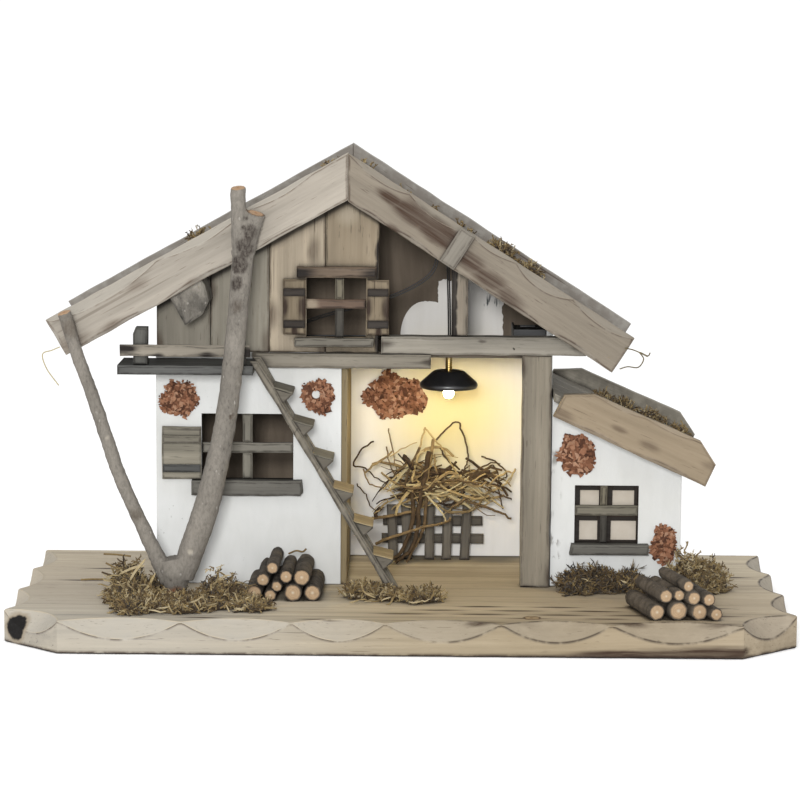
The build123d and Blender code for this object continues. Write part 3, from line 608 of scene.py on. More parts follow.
def backBoard():
    # white paint in the stall and in two ragged patches up in the loft, bare stained board elsewhere
    mat, tree, place = startMaterial("backBoard", {"Roughness": 0.85, "Specular IOR Level": 0.2})
    plain = put(tree, "SeparateXYZ", {0: place}).outputs
    rough = put(tree, "SeparateXYZ", {0: ragged(tree, place, 130, 7)}).outputs

    def above(value, limit):
        return calc(tree, "GREATER_THAN", value, limit * mm)

    def below(value, limit):
        return calc(tree, "LESS_THAN", value, limit * mm)

    def both(*parts):
        amount = parts[0]
        for part in parts[1:]:
            amount = times(tree, amount, part)
        return amount

    def inside(left, right, low, high):
        return both(above(rough[0], left), below(rough[0], right), above(rough[2], low),
                    below(rough[2], high))

    dx = calc(tree, "DIVIDE", calc(tree, "SUBTRACT", plain[0], 17 * mm), 19.5 * mm)
    dz = calc(tree, "DIVIDE", calc(tree, "SUBTRACT", plain[2], 210 * mm), 29 * mm)
    arc = calc(tree, "ADD", times(tree, dx, dx), times(tree, dz, dz))
    white = both(above(plain[0], -50), below(plain[0], 116), below(plain[2], 204))
    for patch in (calc(tree, "LESS_THAN", arc, 1.0), inside(16, 46, 205, 239), inside(29, 46, 205, 257),
                  inside(50, 82, 205, 270)):
        white = calc(tree, "MAXIMUM", white, patch)
    facing = put(tree, "SeparateXYZ", {0: put(tree, "NewGeometry").outputs["Normal"]}).outputs[1]
    white = both(white, below(facing, 0))
    broad = noiseOf(tree, stretch(tree, place, (60, 60, 8)), 1, 5, 0.6, 0.6)
    fine = noiseOf(tree, place, 260, 4, 0.6)
    drag = noiseOf(tree, stretch(tree, place, (330, 330, 60)), 1, 4, 0.6)
    bare = ramp(tree, broad, (0.3, rgb(112, 99, 85)), (0.65, rgb(138, 124, 108)))
    limed = ramp(tree, broad, (0.3, rgb(242, 238, 231, backLevel)), (0.7, rgb(251, 248, 243, backLevel)))
    colour = mix(tree, white, bare, limed)
    # painted lamp light: the white turns cream around the lamp
    paintedLampGlow = times(tree, times(tree, near(tree, place, (40, 127, 144), 10, 88), white), 0.9)
    colour = mix(tree, paintedLampGlow, colour, rgb(252, 236, 176, plasterLevel))
    scuff = times(tree, near(tree, place, (72, 127, 238), 3, 10), fade(tree, drag, 0.52, 0.58))
    colour = mix(tree, scuff, colour, rgb(120, 122, 124))
    relief = bumpOf(tree, white, 0.5, 0.0006)
    wire(tree, colour, bumpOf(tree, fine, 0.25, 0.0005, relief))
    return mat


whitePlaster = plaster("whitePlaster",
                       scuffs=[((120, 4, z), 2.5, 8) for z in (34, 48, 62, 80, 98, 112, 128)],
                       stains=[((-113, 4, 208), 5, 7, (128, 120, 106))])
for name, node, window in (("leftFrontWall", "left_front_wall", "left"),
                           ("leftSideWall", "left_side_wall", None), ("rightWall", "right_wall", None),
                           ("annexFrontWall", "annex_front_wall", "annex"),
                           ("annexSideWall", "annex_side_wall", None)):
    finishes = [whitePlaster, darkLiningAndShade] if window else [whitePlaster]
    softened(name, node, finishes, slot="white_plaster", pick=inHole(window) if window else None)
softened("backWall", "back_wall", [backBoard()], slot="stained_board")
partition = wood("partitionOlive", (162, 144, 108), turn=90, seed=14.5, fibre=0.3)
softened("partitionWall", "partition_wall", [partition], slot="stained_board")
softened("loftFloor", "loft_floor", [taupe], slot="stained_board", width=0.4)
print("walls ready")


# roof slopes: along runs down from the ridge, drop goes in from the upper edge
def slopePoint(side, along, drop):
    angle = math.radians(leftPitch if side < 0 else rightPitch)
    return (ridge[0] + side * (along * math.cos(angle) - drop * math.sin(angle)),
            ridge[1] - along * math.sin(angle) - drop * math.cos(angle))


def slopeBoard(side, length, dropTop, dropLow):
    angle = math.radians(leftPitch if side < 0 else rightPitch)
    return [(ridge[0], ridge[1] - dropTop / math.cos(angle)), slopePoint(side, length, dropTop),
            slopePoint(side, length, dropLow), (ridge[0], ridge[1] - dropLow / math.cos(angle))]


def onSlope(side, along, drop, y):
    x, z = slopePoint(side, along, drop)
    return (x, y, z)


def annexZ(x, drop=0.0):
    angle = math.radians(annexPitch)
    return annexPeak[1] - (x - annexPeak[0]) * math.tan(angle) - drop / math.cos(angle)


roof = {"left": 264, "right": 260, "rearLeft": 271, "rearRight": 275, "width": 31, "front": -52, "thick": 8,
        "joint": 109, "halfBlock": 6.5, "block": 4, "rear": 132, "boards": 5, "panel": (12, 18),
        "leftPaint": (189, 180, 166), "rightPaint": (153, 142, 126), "rearPaint": (180, 175, 166)}


def makeRoof(look):
    front, inner = look["front"], look["front"] + look["thick"]
    joint, wide = look["joint"], look["width"]
    leftWood = wood("leftFascia", look["leftPaint"], turn=leftPitch, seed=0.3, cut=(200, 193, 180),
                    streak=0.13, fibre=0.28, blotch=0.14, cracked=0.35, burnt=(100, 80, 64), char=0.6,
                    worn=0.85,
                    scorch=[(onSlope(-1, 256, 24, front), 2, 9), (onSlope(-1, 222, 28, front), 1, 6),
                            (onSlope(-1, 150, 29, front), 1, 5), (onSlope(-1, 190, 10, front), 1, 6)])
    singed = ((46, 11, 2, 7), (68, 12, 5, 11), (90, 13, 6, 12), (60, 30, 1, 4), (122, 19, 3, 9),
              (142, 22, 3, 9), (162, 25, 2, 8))
    burns = [(onSlope(1, along, drop, front), core, reach) for along, drop, core, reach in singed]
    rightWood = wood("rightFascia", look["rightPaint"], turn=-rightPitch, seed=1.1, cut=(170, 161, 147),
                     streak=0.14, fibre=0.3, blotch=0.15, burnt=(72, 50, 35), char=1.0, cracked=0.4,
                     worn=0.9, scorch=burns)
    rearLeft = wood("rearLeftFascia", look["rearPaint"], turn=leftPitch, seed=2.2, cut=(184, 179, 170),
                    streak=0.1, fibre=0.22)
    rearRight = wood("rearRightFascia", look["rearPaint"], turn=-rightPitch, seed=2.9, cut=(184, 179, 170),
                     streak=0.1, fibre=0.22)
    carved("frontLeftFascia", slopeBoard(-1, look["left"], 0, wide), front, inner, leftWood,
           ["front_left_fascia"], "roof_timber", edge=0.8, wobble=0.7, seed=1.0,
           facets=[(0, 0.62, 1.03, 8.5), (0, 0.34, 0.64, 6), (0, 0.1, 0.36, 4), (1, 0.1, 0.9, 2.5),
                   (2, 0.02, 0.34, 3), (2, 0.34, 0.63, 3.4), (2, 0.64, 0.9, 2)])
    carved("frontRightUpperFascia", slopeBoard(1, joint - 0.3, 0, wide), front, inner, rightWood,
           ["front_right_upper_fascia"], "roof_timber", edge=0.8, wobble=0.6, seed=2.0,
           facets=[(0, 0.02, 0.55, 5), (0, 0.5, 1.04, 6.5), (2, 0.1, 0.6, 3), (2, 0.6, 0.95, 2.4)])
    lower = [slopePoint(1, joint + 0.3, 0), slopePoint(1, look["right"], 0),
             slopePoint(1, look["right"], wide), slopePoint(1, joint + 0.3, wide)]
    carved("frontRightLowerFascia", lower, front, inner, rightWood, ["front_right_lower_fascia"],
           "roof_timber", edge=0.8, wobble=0.7, seed=3.0,
           facets=[(0, 0.0, 0.3, 4), (0, 0.28, 0.64, 7.5), (0, 0.62, 1.02, 6), (2, 0.05, 0.4, 3),
                   (2, 0.4, 0.8, 3)])
    high, low = joint - look["halfBlock"], joint + look["halfBlock"]
    cover = [slopePoint(1, high, 0.4), slopePoint(1, low, 0.4), slopePoint(1, low, wide),
             slopePoint(1, high, wide)]
    grey = wood("jointBlock", (150, 143, 131), turn=90 - rightPitch, seed=4.4, streak=0.12,
                burnt=(70, 56, 46), worn=0.8)
    carved("fasciaJointBlock", cover, front - look["block"], front, grey, ["fascia_joint_block"],
           "roof_timber", edge=1.2, wobble=0.4, seed=4.0)
    facets = [(0, 0.1, 0.45, 4), (0, 0.45, 0.8, 5), (0, 0.8, 1.02, 4), (2, 0.1, 0.5, 3), (2, 0.5, 0.9, 3)]
    for name, side, length, mat, node in (
            ("rearLeftFascia", -1, look["rearLeft"], rearLeft, "rear_left_fascia"),
            ("rearRightFascia", 1, look["rearRight"], rearRight, "rear_right_fascia")):
        carved(name, slopeBoard(side, length, 0, wide), look["rear"] + look["thick"], look["rear"], mat,
               [node], "roof_timber", edge=0.8, wobble=0.6, seed=5.0 + side, facets=facets)
    deep = (look["rear"] - inner) / look["boards"]
    for name, side, length, mat, node in (
            ("leftRoofBoard", -1, look["left"], rearLeft, "left_roof_panel"),
            ("rightRoofBoard", 1, look["right"], rearRight, "right_roof_panel")):
        for k in range(look["boards"]):
            start = inner + k * deep + 0.2
            carved(name + str(k + 1), slopeBoard(side, length - 2, *look["panel"]), start,
                   start + deep - 0.4, mat, [node], "roof_timber", edge=0.7, backEdge=0.7, wobble=0.3,
                   seed=k * 1.7 + side)


annex = {"front": -30, "thick": 8, "rear": 132, "boards": 4, "paint": (173, 155, 129),
         "rearPaint": (172, 165, 150),
         "outline": [(117.2, annexZ(117.2, 29)), (125.5, annexZ(128.5, 9)), (149, annexZ(149)),
                     (232, annexZ(230)), (244, annexZ(244, 11)), (236, annexZ(236, 30))],
         "panel": [(118.2, annexZ(118.2, 13)), (240, annexZ(240, 13)), (237, annexZ(237, 19)),
                   (118.2, annexZ(118.2, 19))]}


def makeAnnexRoof(look):
    tan = wood("annexFascia", look["paint"], turn=-annexPitch, seed=4.3, cut=(184, 168, 146), streak=0.1,
               fibre=0.22, blotch=0.2, burnt=(92, 72, 56), char=0.6,
               scorch=[((122, -30, 168), 2, 7), ((168, -30, 156), 1, 4), ((192, -30, 143), 1, 5),
                       ((240, -30, 127), 1, 5)])
    grey = wood("annexRear", look["rearPaint"], turn=-annexPitch, seed=5.1, streak=0.14, burnt=(60, 52, 44))
    facets = [(2, 0.02, 0.5, 2.5), (2, 0.5, 0.98, 2.8), (5, 0.05, 0.5, 3), (5, 0.5, 0.95, 3)]
    inner = look["front"] + look["thick"]
    carved("annexFrontFascia", look["outline"], look["front"], inner, tan, ["annex_front_fascia"],
           "roof_timber", edge=0.9, wobble=0.6, seed=11.0, facets=facets)
    carved("annexRearFascia", look["outline"], look["rear"] + look["thick"], look["rear"], grey,
           ["annex_rear_fascia"], "roof_timber", edge=0.9, wobble=0.6, seed=12.0, facets=facets)
    deep = (look["rear"] - inner) / look["boards"]
    for k in range(look["boards"]):
        start = inner + k * deep + 0.2
        carved("annexRoofBoard" + str(k + 1), look["panel"], start, start + deep - 0.4, grey,
               ["annex_roof_panel"], "roof_timber", edge=0.7, backEdge=0.7, wobble=0.3, seed=k * 2.3)


makeRoof(roof)
makeAnnexRoof(annex)
print("roofs ready")


def underRoof(x, pitch):  # height of the roof boards' underside
    angle = math.radians(pitch)
    return ridge[1] - abs(x - ridge[0]) * math.tan(angle) - roof["panel"][1] / math.cos(angle)


# gable planks, each with its own stain
gable = {"eaveShadow": (34.5, 38.5),
         "paints": ((164, 157, 142), (172, 165, 149), (212, 196, 171), (184, 167, 141)),
         "scorch": ([((-172, 4, 250), 1, 8), ((-192, 4, 214), 1, 7)],
                    [((-106, 4, 216), 1, 8), ((-150, 4, 258), 1, 6)],
                    [((-102, 4, 240), 1, 7), ((-70, 4, 290), 1, 7), ((-64, 4, 216), 1, 5)],
                    # the last list darkens plank 4 in a strip along its right edge, by the loft opening
                    [((-18, 4, z), 3, 5.5) for z in (220, 234, 248, 262, 276, 290)])}


def makeGable(look):
    left, right, low, high = windows["gable"]
    # planes along each slope, for the painted shadow under the eaves
    underEaves = []
    for side, pitch in ((-1, leftPitch), (1, rightPitch)):
        normal = Vector((-side * math.sin(math.radians(pitch)), 0, -math.cos(math.radians(pitch))))
        top = normal.dot(Vector((ridge[0], 0, ridge[1])))
        underEaves.append((normal, top + look["eaveShadow"][0], top + look["eaveShadow"][1]))
    for k, paint in enumerate(look["paints"]):
        name, node, last = "gablePlank" + str(k + 1), "gable_plank_" + str(k + 1), k == 3
        mat = wood(name, paint, turn=90, seed=20 + k * 3.4, fibre=0.34, blotch=0.2, worn=0.85, streak=0.16,
                   bands=(4, 70, 70), burnt=(40, 32, 26) if last else (86, 68, 52),
                   scorch=look["scorch"][k], char=1.3 if last else 0.85, eaveShadows=underEaves,
                   tints=[((-44, 4, 319), 2, 13, (218, 206, 184), 0.5)] if last else ())
        x0, x1, front, back, foot, top = boxOf(node)
        outline = [(x0, foot), (x1, foot), (x1, underRoof(x1, leftPitch)), (x0, underRoof(x0, leftPitch))]
        if k == 2:  # the window is cut out of this plank and the next
            outline[2:2] = [(x1, low), (left, low), (left, high), (x1, high)]
        if last:
            outline = [(x0, foot), (x1, foot), (x1, underRoof(x1, rightPitch)),
                       (ridge[0], underRoof(ridge[0], rightPitch)), (x0, underRoof(x0, leftPitch)),
                       (x0, high), (right, high), (right, low), (x0, low)]
        carved(name, outline, front, back, mat, [node], edge=0.6, wobble=0.3, blur=1.2, seed=30.0 + k)


makeGable(gable)

# frame timbers
boxed("tieBeam", "tie_beam", tieWood, edge=0.8, wobble=0.5, seed=40.0,
      facets=[(1, 0.1, 0.9, 1.5), (2, 0.1, 0.4, 1.4), (2, 0.55, 0.9, 1.4)])
boxed("lintelBeam", "lintel_beam", lintelWood, edge=0.8, wobble=0.5, seed=41.0,
      facets=[(0, 0.2, 0.6, 1.3), (2, 0.2, 0.7, 1.4)])
kingWood = wood("kingPost", (174, 162, 144), turn=90, seed=9.9, worn=0.8, burnt=(34, 27, 22), char=1.3,
                scorch=[((38, 0, z), 3.4, 5.4) for z in (226, 238, 250, 262, 274)] + [((46, 0, 279), 1, 5)])
left, right, front, back, foot, top = boxOf("king_post")
king = [(left, foot), (right, foot), (right, underRoof(right, rightPitch)),
        (left, underRoof(left, rightPitch))]
carved("kingPost", king, front, back, kingWood, ["king_post"], edge=0.9, wobble=0.4, seed=42.0)
boxed("doorPost", "door_post", upright, edge=0.9, wobble=0.6, seed=43.0,
      facets=[(1, 0.1, 0.45, 1.8), (3, 0.5, 0.9, 1.8)])
purlin = [slopePoint(-1, 146, 18), slopePoint(-1, 146, 36), slopePoint(-1, 149, 48),
          slopePoint(-1, 158.5, 55), slopePoint(-1, 174, 55), slopePoint(-1, 174, 18)]
purlinBark = bark("purlinBark", (150, 144, 134), (186, 180, 170), (26, 22, 18), 1.3, 0.6)
left, right, front, back, foot, top = boxOf("left_purlin")
carved("leftPurlin", purlin, front, back, purlinBark, ["left_purlin"], "bark", edge=1.8, wobble=1.2,
       seed=44.0, step=2.5)
print("timbers ready")

# balcony and stair
balcony = {"rail": (212, 221), "railThick": 4, "posts": (-207, -132), "postWide": 11, "chamfer": (2, 5),
           "scorch": [((-214, -48, 218), 2, 6), ((-188, -48, 213), 0.5, 3), ((-150, -48, 213), 0.5, 4),
                      ((-120, -48, 215), 2, 6)]}


def makeBalcony(look):
    railWood = wood("railWood", (166, 157, 142), seed=9.5, worn=0.85, burnt=(40, 33, 28), char=1.2,
                    scorch=look["scorch"])
    boxed("balconyFloor", "balcony_floor", charred, "burnt_timber", edge=0.9, wobble=0.5, seed=50.0)
    left, right, front, back, foot, top = boxOf("balcony_railing")
    inner = front + look["railThick"]
    carved("balconyRail", rect(left, right, *look["rail"]), front, inner, railWood, ["balcony_railing"],
           "burnt_timber", edge=0.9, wobble=0.6, seed=51.0, facets=[(2, 0.1, 0.5, 1.6), (0, 0.4, 0.9, 1.5)])
    offX, offZ = look["chamfer"]
    for label, x in zip(("balconyPostLeft", "balconyPostRight"), look["posts"]):
        end = x + look["postWide"]
        carved(label, [(x, foot), (end, foot), (end, top), (x + offX, top), (x, top - offZ)], inner, back,
               charredUp, (), "burnt_timber", edge=0.9, wobble=0.4, seed=52.0 + x)


makeBalcony(balcony)

stair = {"pitch": 59.1, "thick": 5, "treads": 6, "rise": 26, "first": 189, "reach": 15.5, "tilt": 4,
         "drop": 13}


def stairX(z):  # the stringers lean on the balcony's right edge
    left, right, front, back, foot, top = boxOf("balcony_floor")
    return right + (top - z) / math.tan(math.radians(stair["pitch"]))


def makeStair(look):
    thick = look["thick"]
    across = thick / math.sin(math.radians(look["pitch"]))
    left, right, front, back, low, high = boxOf("stair_stringers")
    side = [(stairX(low), low), (stairX(low) + across, low), (stairX(high) + across, high),
            (stairX(high), high)]
    grey = wood("stairGrey", (150, 142, 127), turn=59, seed=14.2, worn=0.95, burnt=(40, 33, 27))
    upper = wood("stairTreadUpper", (146, 140, 124), seed=14.9, worn=0.7, burnt=(50, 42, 34))
    # the lower treads' tops are a lighter tan copy of the tread finish: painted lamp light
    lower = wood("stairTreadLampLit", (192, 172, 134), seed=14.6, worn=0.6, burnt=(60, 50, 41))
    riser = wood("stairRiser", (124, 117, 104), seed=14.4, worn=1.0, burnt=(24, 20, 17), blotch=0.4)
    carved("stairStringerFront", side, front, front + thick, grey, ["stair_stringers"], edge=0.7,
           wobble=0.9, seed=60.0)
    carved("stairStringerBack", side, back - thick, back, grey, (), edge=0.7, wobble=0.9, seed=61.0)
    for k in range(look["treads"]):
        top = look["first"] - k * look["rise"]
        root, foot = stairX(top) + across, stairX(top - look["drop"]) + across
        tip, lip = root + look["reach"], top - look["tilt"]
        outline = [(root, top), (tip, lip), (tip, lip - 2), (foot, top - look["drop"])]
        step = carved("stairTread" + str(k + 1), outline, front, back, riser,
                      ["stair_treads"] if k == 0 else (), edge=0.6, wobble=0.5, seed=62.0 + k, step=3,
                      blur=0.8)
        step.data.materials.append(upper if k < 3 else lower)
        for face in step.data.polygons:
            face.material_index = int(face.normal.z > 0.5)


makeStair(stair)
print("balcony and stair ready")


# windows
windowLook = {
    "left": {"mullion": (-126, -118), "muntin": (130, 138), "battens": (115, 138)},
    "gable": {"mullion": (-53.5, -46.5), "muntin": (245, 252), "battens": (230, 255), "head": 8, "sill": 6.5,
              "offset": 2, "leaves": (("Left", -94, -76.2), ("Right", -28.3, -11))},
    "annex": {"mullion": (157, 162.5), "muntin": (82, 90), "middle": (159.8, 86), "lining": (10.2, 11.9),
              "panes": ((141.3, 156.3, 89.2, 101.4), (167, 184.2, 89.2, 101.4),
                        (141, 155.4, 61.5, 77), (166, 186, 61.5, 77))},
    "battenWide": 6, "battenThick": 2}


def makeBars(side, look, mats, slot="weathered_timber", seed=0.0):
    # a cross bar over the whole opening, with an upright above and one below it
    node, name = side + "_window_bars", side + "Window"
    left, right, front, back, low, high = boxOf(node)
    across, up = look["muntin"], look["mullion"]
    carved(name + "Muntin", rect(left, right, *across), front, back, mats[0], [node], slot, edge=1.0,
           wobble=0.4, seed=seed)
    for part, ends, mat, k in (("Upper", (across[1], high), mats[1], 1),
                               ("Lower", (low, across[0]), mats[2], 2)):
        carved(name + "Mullion" + part, rect(*up, *ends), front + 0.4, back, mat, (), slot, edge=1.0,
               wobble=0.3, seed=seed + k)


def makeLeftWindow(look, sill):
    shutter = wood("shutterGrey", (168, 161, 144), seed=10.4, worn=0.9, burnt=(48, 41, 35))
    bar = wood("leftBars", (154, 149, 137), seed=11.3, worn=0.85, burnt=(50, 44, 37))
    upBar = wood("leftBarsUp", (150, 145, 132), turn=90, seed=11.8, worn=0.85, burnt=(50, 44, 37))
    makeBars("left", look["left"], (bar, upBar, upBar), seed=70.0)
    left, right, front, back, low, high = boxOf("left_window_sill")
    outline = [(left, low), (right - 2, low), (right, low + 3), (right - 1, high), (left, high)]
    carved("leftWindowSill", outline, front, back, sill, ["left_window_sill"], edge=1.2, wobble=0.7,
           seed=71.0, facets=[(4, 0.1, 0.5, 2), (4, 0.5, 0.9, 2)])
    left, right, front, back, low, high = boxOf("left_window_shutter")
    face = front + look["battenThick"]
    carved("leftShutter", rect(left, right - 0.2, low, high), face, back, shutter, ["left_window_shutter"],
           edge=0.7, wobble=0.5, seed=72.0)
    for k, z in enumerate(look["left"]["battens"]):
        carved("leftShutterBatten" + str(k + 1), rect(left + 0.4, right - 0.6, z, z + look["battenWide"]),
               front, face, charred if k == 0 else shutter, (), edge=0.6, wobble=0.4, seed=73.0 + k)


def makeGableWindow(look, darkUp):
    own = look["gable"]
    singed = wood("singedBars", (126, 104, 88), seed=16.2, worn=0.9, burnt=(48, 38, 32), blotch=0.5,
                  spots=[((-72, 4, 248), 2, 8, (176, 160, 138))])
    makeBars("gable", own, (singed, olive, darkUp), "burnt_timber", 75.0)
    headWood = wood("gableHead", (150, 130, 110), seed=17.3, worn=0.9, burnt=(40, 33, 28), char=1.2,
                    scorch=[((-83, -4, 273), 2, 8), ((-21, -4, 273), 2, 7)])
    sillWood = wood("gableSill", (150, 144, 131), seed=17.9, worn=0.9, burnt=(54, 46, 38))
    left, right, front, back, low, high = boxOf("gable_window_trim")
    carved("gableWindowHead", rect(left + own["offset"], right, high - own["head"], high), front, back,
           headWood, ["gable_window_trim"], "burnt_timber", edge=1.0, wobble=0.5, seed=76.0,
           facets=[(2, 0.1, 0.5, 1.6)])
    carved("gableWindowSill", rect(left, right - own["offset"], low, low + own["sill"]), front, back,
           sillWood, (), "burnt_timber", edge=0.9, wobble=0.4, seed=77.0)
    # painted shade: darker towards the leaves' side edges, so that the flat leaves look rounded
    leafEdgeShade = []
    for side, left, right in own["leaves"]:
        leafEdgeShade += [((left + 1, 0, 246), 1, 5), ((right - 1, 0, 246), 2, 7), ((left + 9, 0, 227), 1, 4)]
    leaf = wood("gableLeaf", (158, 142, 117), turn=90, seed=18.2, worn=0.9, burnt=(62, 46, 34),
                scorch=leafEdgeShade, char=1.3)
    batten = wood("gableBatten", (66, 58, 51), seed=18.7, worn=0.9, burnt=(30, 25, 22))
    front, back, low, high = boxOf("gable_shutters")[2:]
    face = front + look["battenThick"]
    for side, left, right in own["leaves"]:
        stands = ["gable_shutters"] if side == "Left" else ()
        carved("gableShutter" + side, rect(left, right, low, high), face, back, leaf, stands,
               "burnt_timber", edge=0.8, wobble=0.5, seed=78.0 + left)
        for k, z in enumerate(own["battens"]):
            carved("gableShutter" + side + "Batten" + str(k + 1),
                   rect(left + 0.3, right - 0.3, z, z + look["battenWide"]), front, face, batten, (),
                   "burnt_timber", edge=0.6, wobble=0.4, seed=79.0 + left + k)


def makeAnnexWindow(look, sill, darkUp):
    makeBars("annex", look, (oliveLevel, olive, darkUp), seed=80.0)
    left, right, front, back, low, high = boxOf("annex_window_sill")
    carved("annexWindowSill", [(left, low), (right + 2, low), (right + 2, high), (left + 1.5, high)], front,
           back, sill, ["annex_window_sill"], edge=1.0, wobble=0.5, seed=81.0)
    parchment, tree, place = startMaterial("parchment", {"Roughness": 0.8, "Specular IOR Level": 0.2})
    cloud = noiseOf(tree, place, 45, 4, 0.6)
    colour = ramp(tree, cloud, (0.35, rgb(222, 210, 192)), (0.65, rgb(238, 227, 211)))
    wire(tree, colour, bumpOf(tree, noiseOf(tree, place, 300, 3), 0.2, 0.0002))
    nodes["annex_window_pane"].data.materials.clear()
    nodes["annex_window_pane"].data.materials.append(parchment)
    # the dark lining that shows as a border round each pane: partly the opening's own dark edges, partly
    # painted shade in its depth
    left, right, low, high = windows["annex"]
    midX, midZ = look["middle"]
    for k, (x0, x1, z0, z1) in enumerate(look["panes"]):
        a, b = (left, midX) if k % 2 == 0 else (midX, right)
        c, d = (midZ, high) if k < 2 else (low, midZ)
        strips = rect(a + 0.1, x0, c, d), rect(x1, b - 0.1, c, d), rect(x0, x1, c, z0), rect(x0, x1, z1, d)
        for part, box in enumerate(strips):
            if box[1][0] - box[0][0] > 0.4 and box[2][1] - box[0][1] > 0.4:
                carved("annexLining" + str(k + 1) + "-" + str(part + 1), box, *look["lining"], darkLiningAndShade,
                       (), edge=0.2, blur=0.3, wobble=0.1, seed=82.0 + k + part)


def makeWindows(look):
    sill = wood("sillGrey", (122, 119, 111), seed=10.9, worn=0.85, burnt=(44, 39, 34))
    darkUp = wood("darkBars", (84, 80, 72), turn=90, seed=16.8, worn=0.8, burnt=(34, 29, 25))
    makeLeftWindow(look, sill)
    makeGableWindow(look, darkUp)
    makeAnnexWindow(look["annex"], sill, darkUp)


makeWindows(windowLook)
print("windows ready")

# forked branch: limbs as stations of x, y, z and radius
branch = {"limbs": [[(-173, -65, 25.2, 6.6), (-173, -65, 32, 7.2), (-173.4, -65, 40, 10.2),
                     (-173, -65, 49, 12.6), (-175, -65, 59, 11)],
                    [(-178, -65, 42, 8), (-187.5, -65, 60, 6.2), (-197, -64.5, 80, 5.6),
                     (-209, -64, 106, 5.2), (-219.5, -63, 132, 5.2), (-235, -62, 180, 5),
                     (-247, -60, 212, 4.9), (-258, -59.5, 248, 5.2)],
                    [(-168, -65, 44, 9), (-158.5, -65, 71, 9.8), (-149.5, -65, 98, 9.8),
                     (-142, -65, 128, 9), (-135, -65, 162, 8.2), (-130, -64.5, 200, 8),
                     (-125, -64, 250, 7.6), (-122, -64, 290, 8), (-124.5, -63, 322, 6),
                     (-125, -63, 344, 5.8)],
                    [(-122, -64, 278, 7), (-118, -63.5, 300, 7), (-111.5, -63, 325, 7)]],
          "cuts": [((-258, -59.5, 248), (-0.29, 0, 0.95)), ((-125, -63, 344), (0, 0, 1)),
                   ((-111.5, -63, 325), (0.25, 0, 0.97))],
          "knots": [((-130, -72, 170), 4, 1.5), ((-160, -75, 66), 5, 1.6), ((-225, -67, 152), 3.5, 1.5),
                    ((-127, -71, 240), 5, 1.3), ((-148, -73, 112), 4, 1.0), ((-241, -66, 196), 4, 1.0),
                    ((-137, -73, 150), 3, 0.9), ((-205, -69, 104), 3, 0.9)], "voxel": 1.0, "lean": 0.24}


def makeBranch(look):
    store = newStore()
    for limb in look["limbs"]:
        points = curveThrough([Vector(s[:3]) for s in limb], 6)
        radii = curveThrough([Vector((s[3], 0, 0)) for s in limb], 6)
        strand(store, points, [r.x for r in radii], 0.5, 20)
    mesh = bpy.data.meshes.new("branchLimbs")
    mesh.from_pydata(store["verts"], [], store["faces"])
    rough = bpy.data.objects.new("branchLimbs", mesh)
    bpy.context.scene.collection.objects.link(rough)
    fuse = rough.modifiers.new("fuse", "REMESH")
    fuse.mode = "VOXEL"
    fuse.voxel_size = look["voxel"] * mm
    fused = bpy.data.meshes.new_from_object(rough.evaluated_get(bpy.context.evaluated_depsgraph_get()))
    bpy.data.objects.remove(rough)
    cuts = [(Vector(place), Vector(facing)) for place, facing in look["cuts"]]
    for face in fused.polygons:
        c = face.center / mm
        sawn = any(abs((c - p).dot(d)) < 1.0 and face.normal.dot(d) > 0.75 for p, d in cuts)
        face.material_index = int(sawn)
    rings = [min((v.co / mm - p).length / 6.6 for p, d in cuts) for v in fused.vertices]
    fused.attributes.new("ring", "FLOAT", "POINT").data.foreach_set("value", rings)
    normals = [v.normal.copy() for v in fused.vertices]
    for v, normal in zip(fused.vertices, normals):
        p = v.co / mm
        push = 0.5 * noise.noise(p * 0.12) + 0.3 * noise.noise(Vector((p.x * 0.7, p.y * 0.7, p.z * 0.25)))
        if p.z > 262:  # torn bark where the spur leaves the limb
            push += 0.8 * noise.noise(p * 0.45) * max(0, 1 - abs(p.z - 292) / 24)
        for place, wide, high in look["knots"]:
            gap = (p - Vector(place)).length / wide
            push += high * (math.exp(-gap * gap) - 1.1 * math.exp(-9 * gap * gap))
        sawn = any(abs((p - c).dot(d)) < 1.3 and normal.dot(d) > 0.6 for c, d in cuts)
        v.co += normal * (0 if sawn else push) * mm
        for c, d in cuts:  # the saw leant forward, so that the cut ends face the front a little
            if (p - c).length < 12:
                v.co.z -= look["lean"] * max(0, c.y + 5 - p.y) * max(0, 1 - abs((p - c).dot(d)) / 9) * mm
        v.co.z = max(v.co.z, (boardTop + 0.02) * mm)
    settle(fused, 55)
    dark = (58, 48, 42)
    grey = bark("branchBark", (156, 149, 139), (204, 198, 188), (62, 53, 46), contrast=0.16,
                spots=[((-115, -71, 309), 3, 8, dark), ((-119, -72, 298), 5, 10, dark),
                       ((-124.5, -72, 285), 5, 9, dark), ((-127, -72, 271), 3, 7, dark),
                       ((-119, -69, 320), 0.6, 2.4, dark), ((-119.6, -69, 313), 0.6, 2.8, dark),
                       ((-126, -72, 254), 1, 8, (92, 82, 72)), ((-173, -72, 31), 4, 9, (158, 104, 64)),
                       ((-130, -72, 170), 1, 3, (84, 70, 56)), ((-160, -75, 66), 1, 3.4, (206, 197, 180)),
                       ((-225, -67, 152), 1, 3, (200, 190, 174)), ((-204, -70, 92), 2, 9, (112, 102, 90)),
                       ((-252, -64, 236), 2, 12, (120, 110, 98))])
    end = endGrain("branchEnd", (226, 186, 146), (206, 150, 104), (128, 104, 84))
    piece("forkedBranch", fused, [grey, end], ["forked_branch"], "bark")


makeBranch(branch)
print("branch grown")

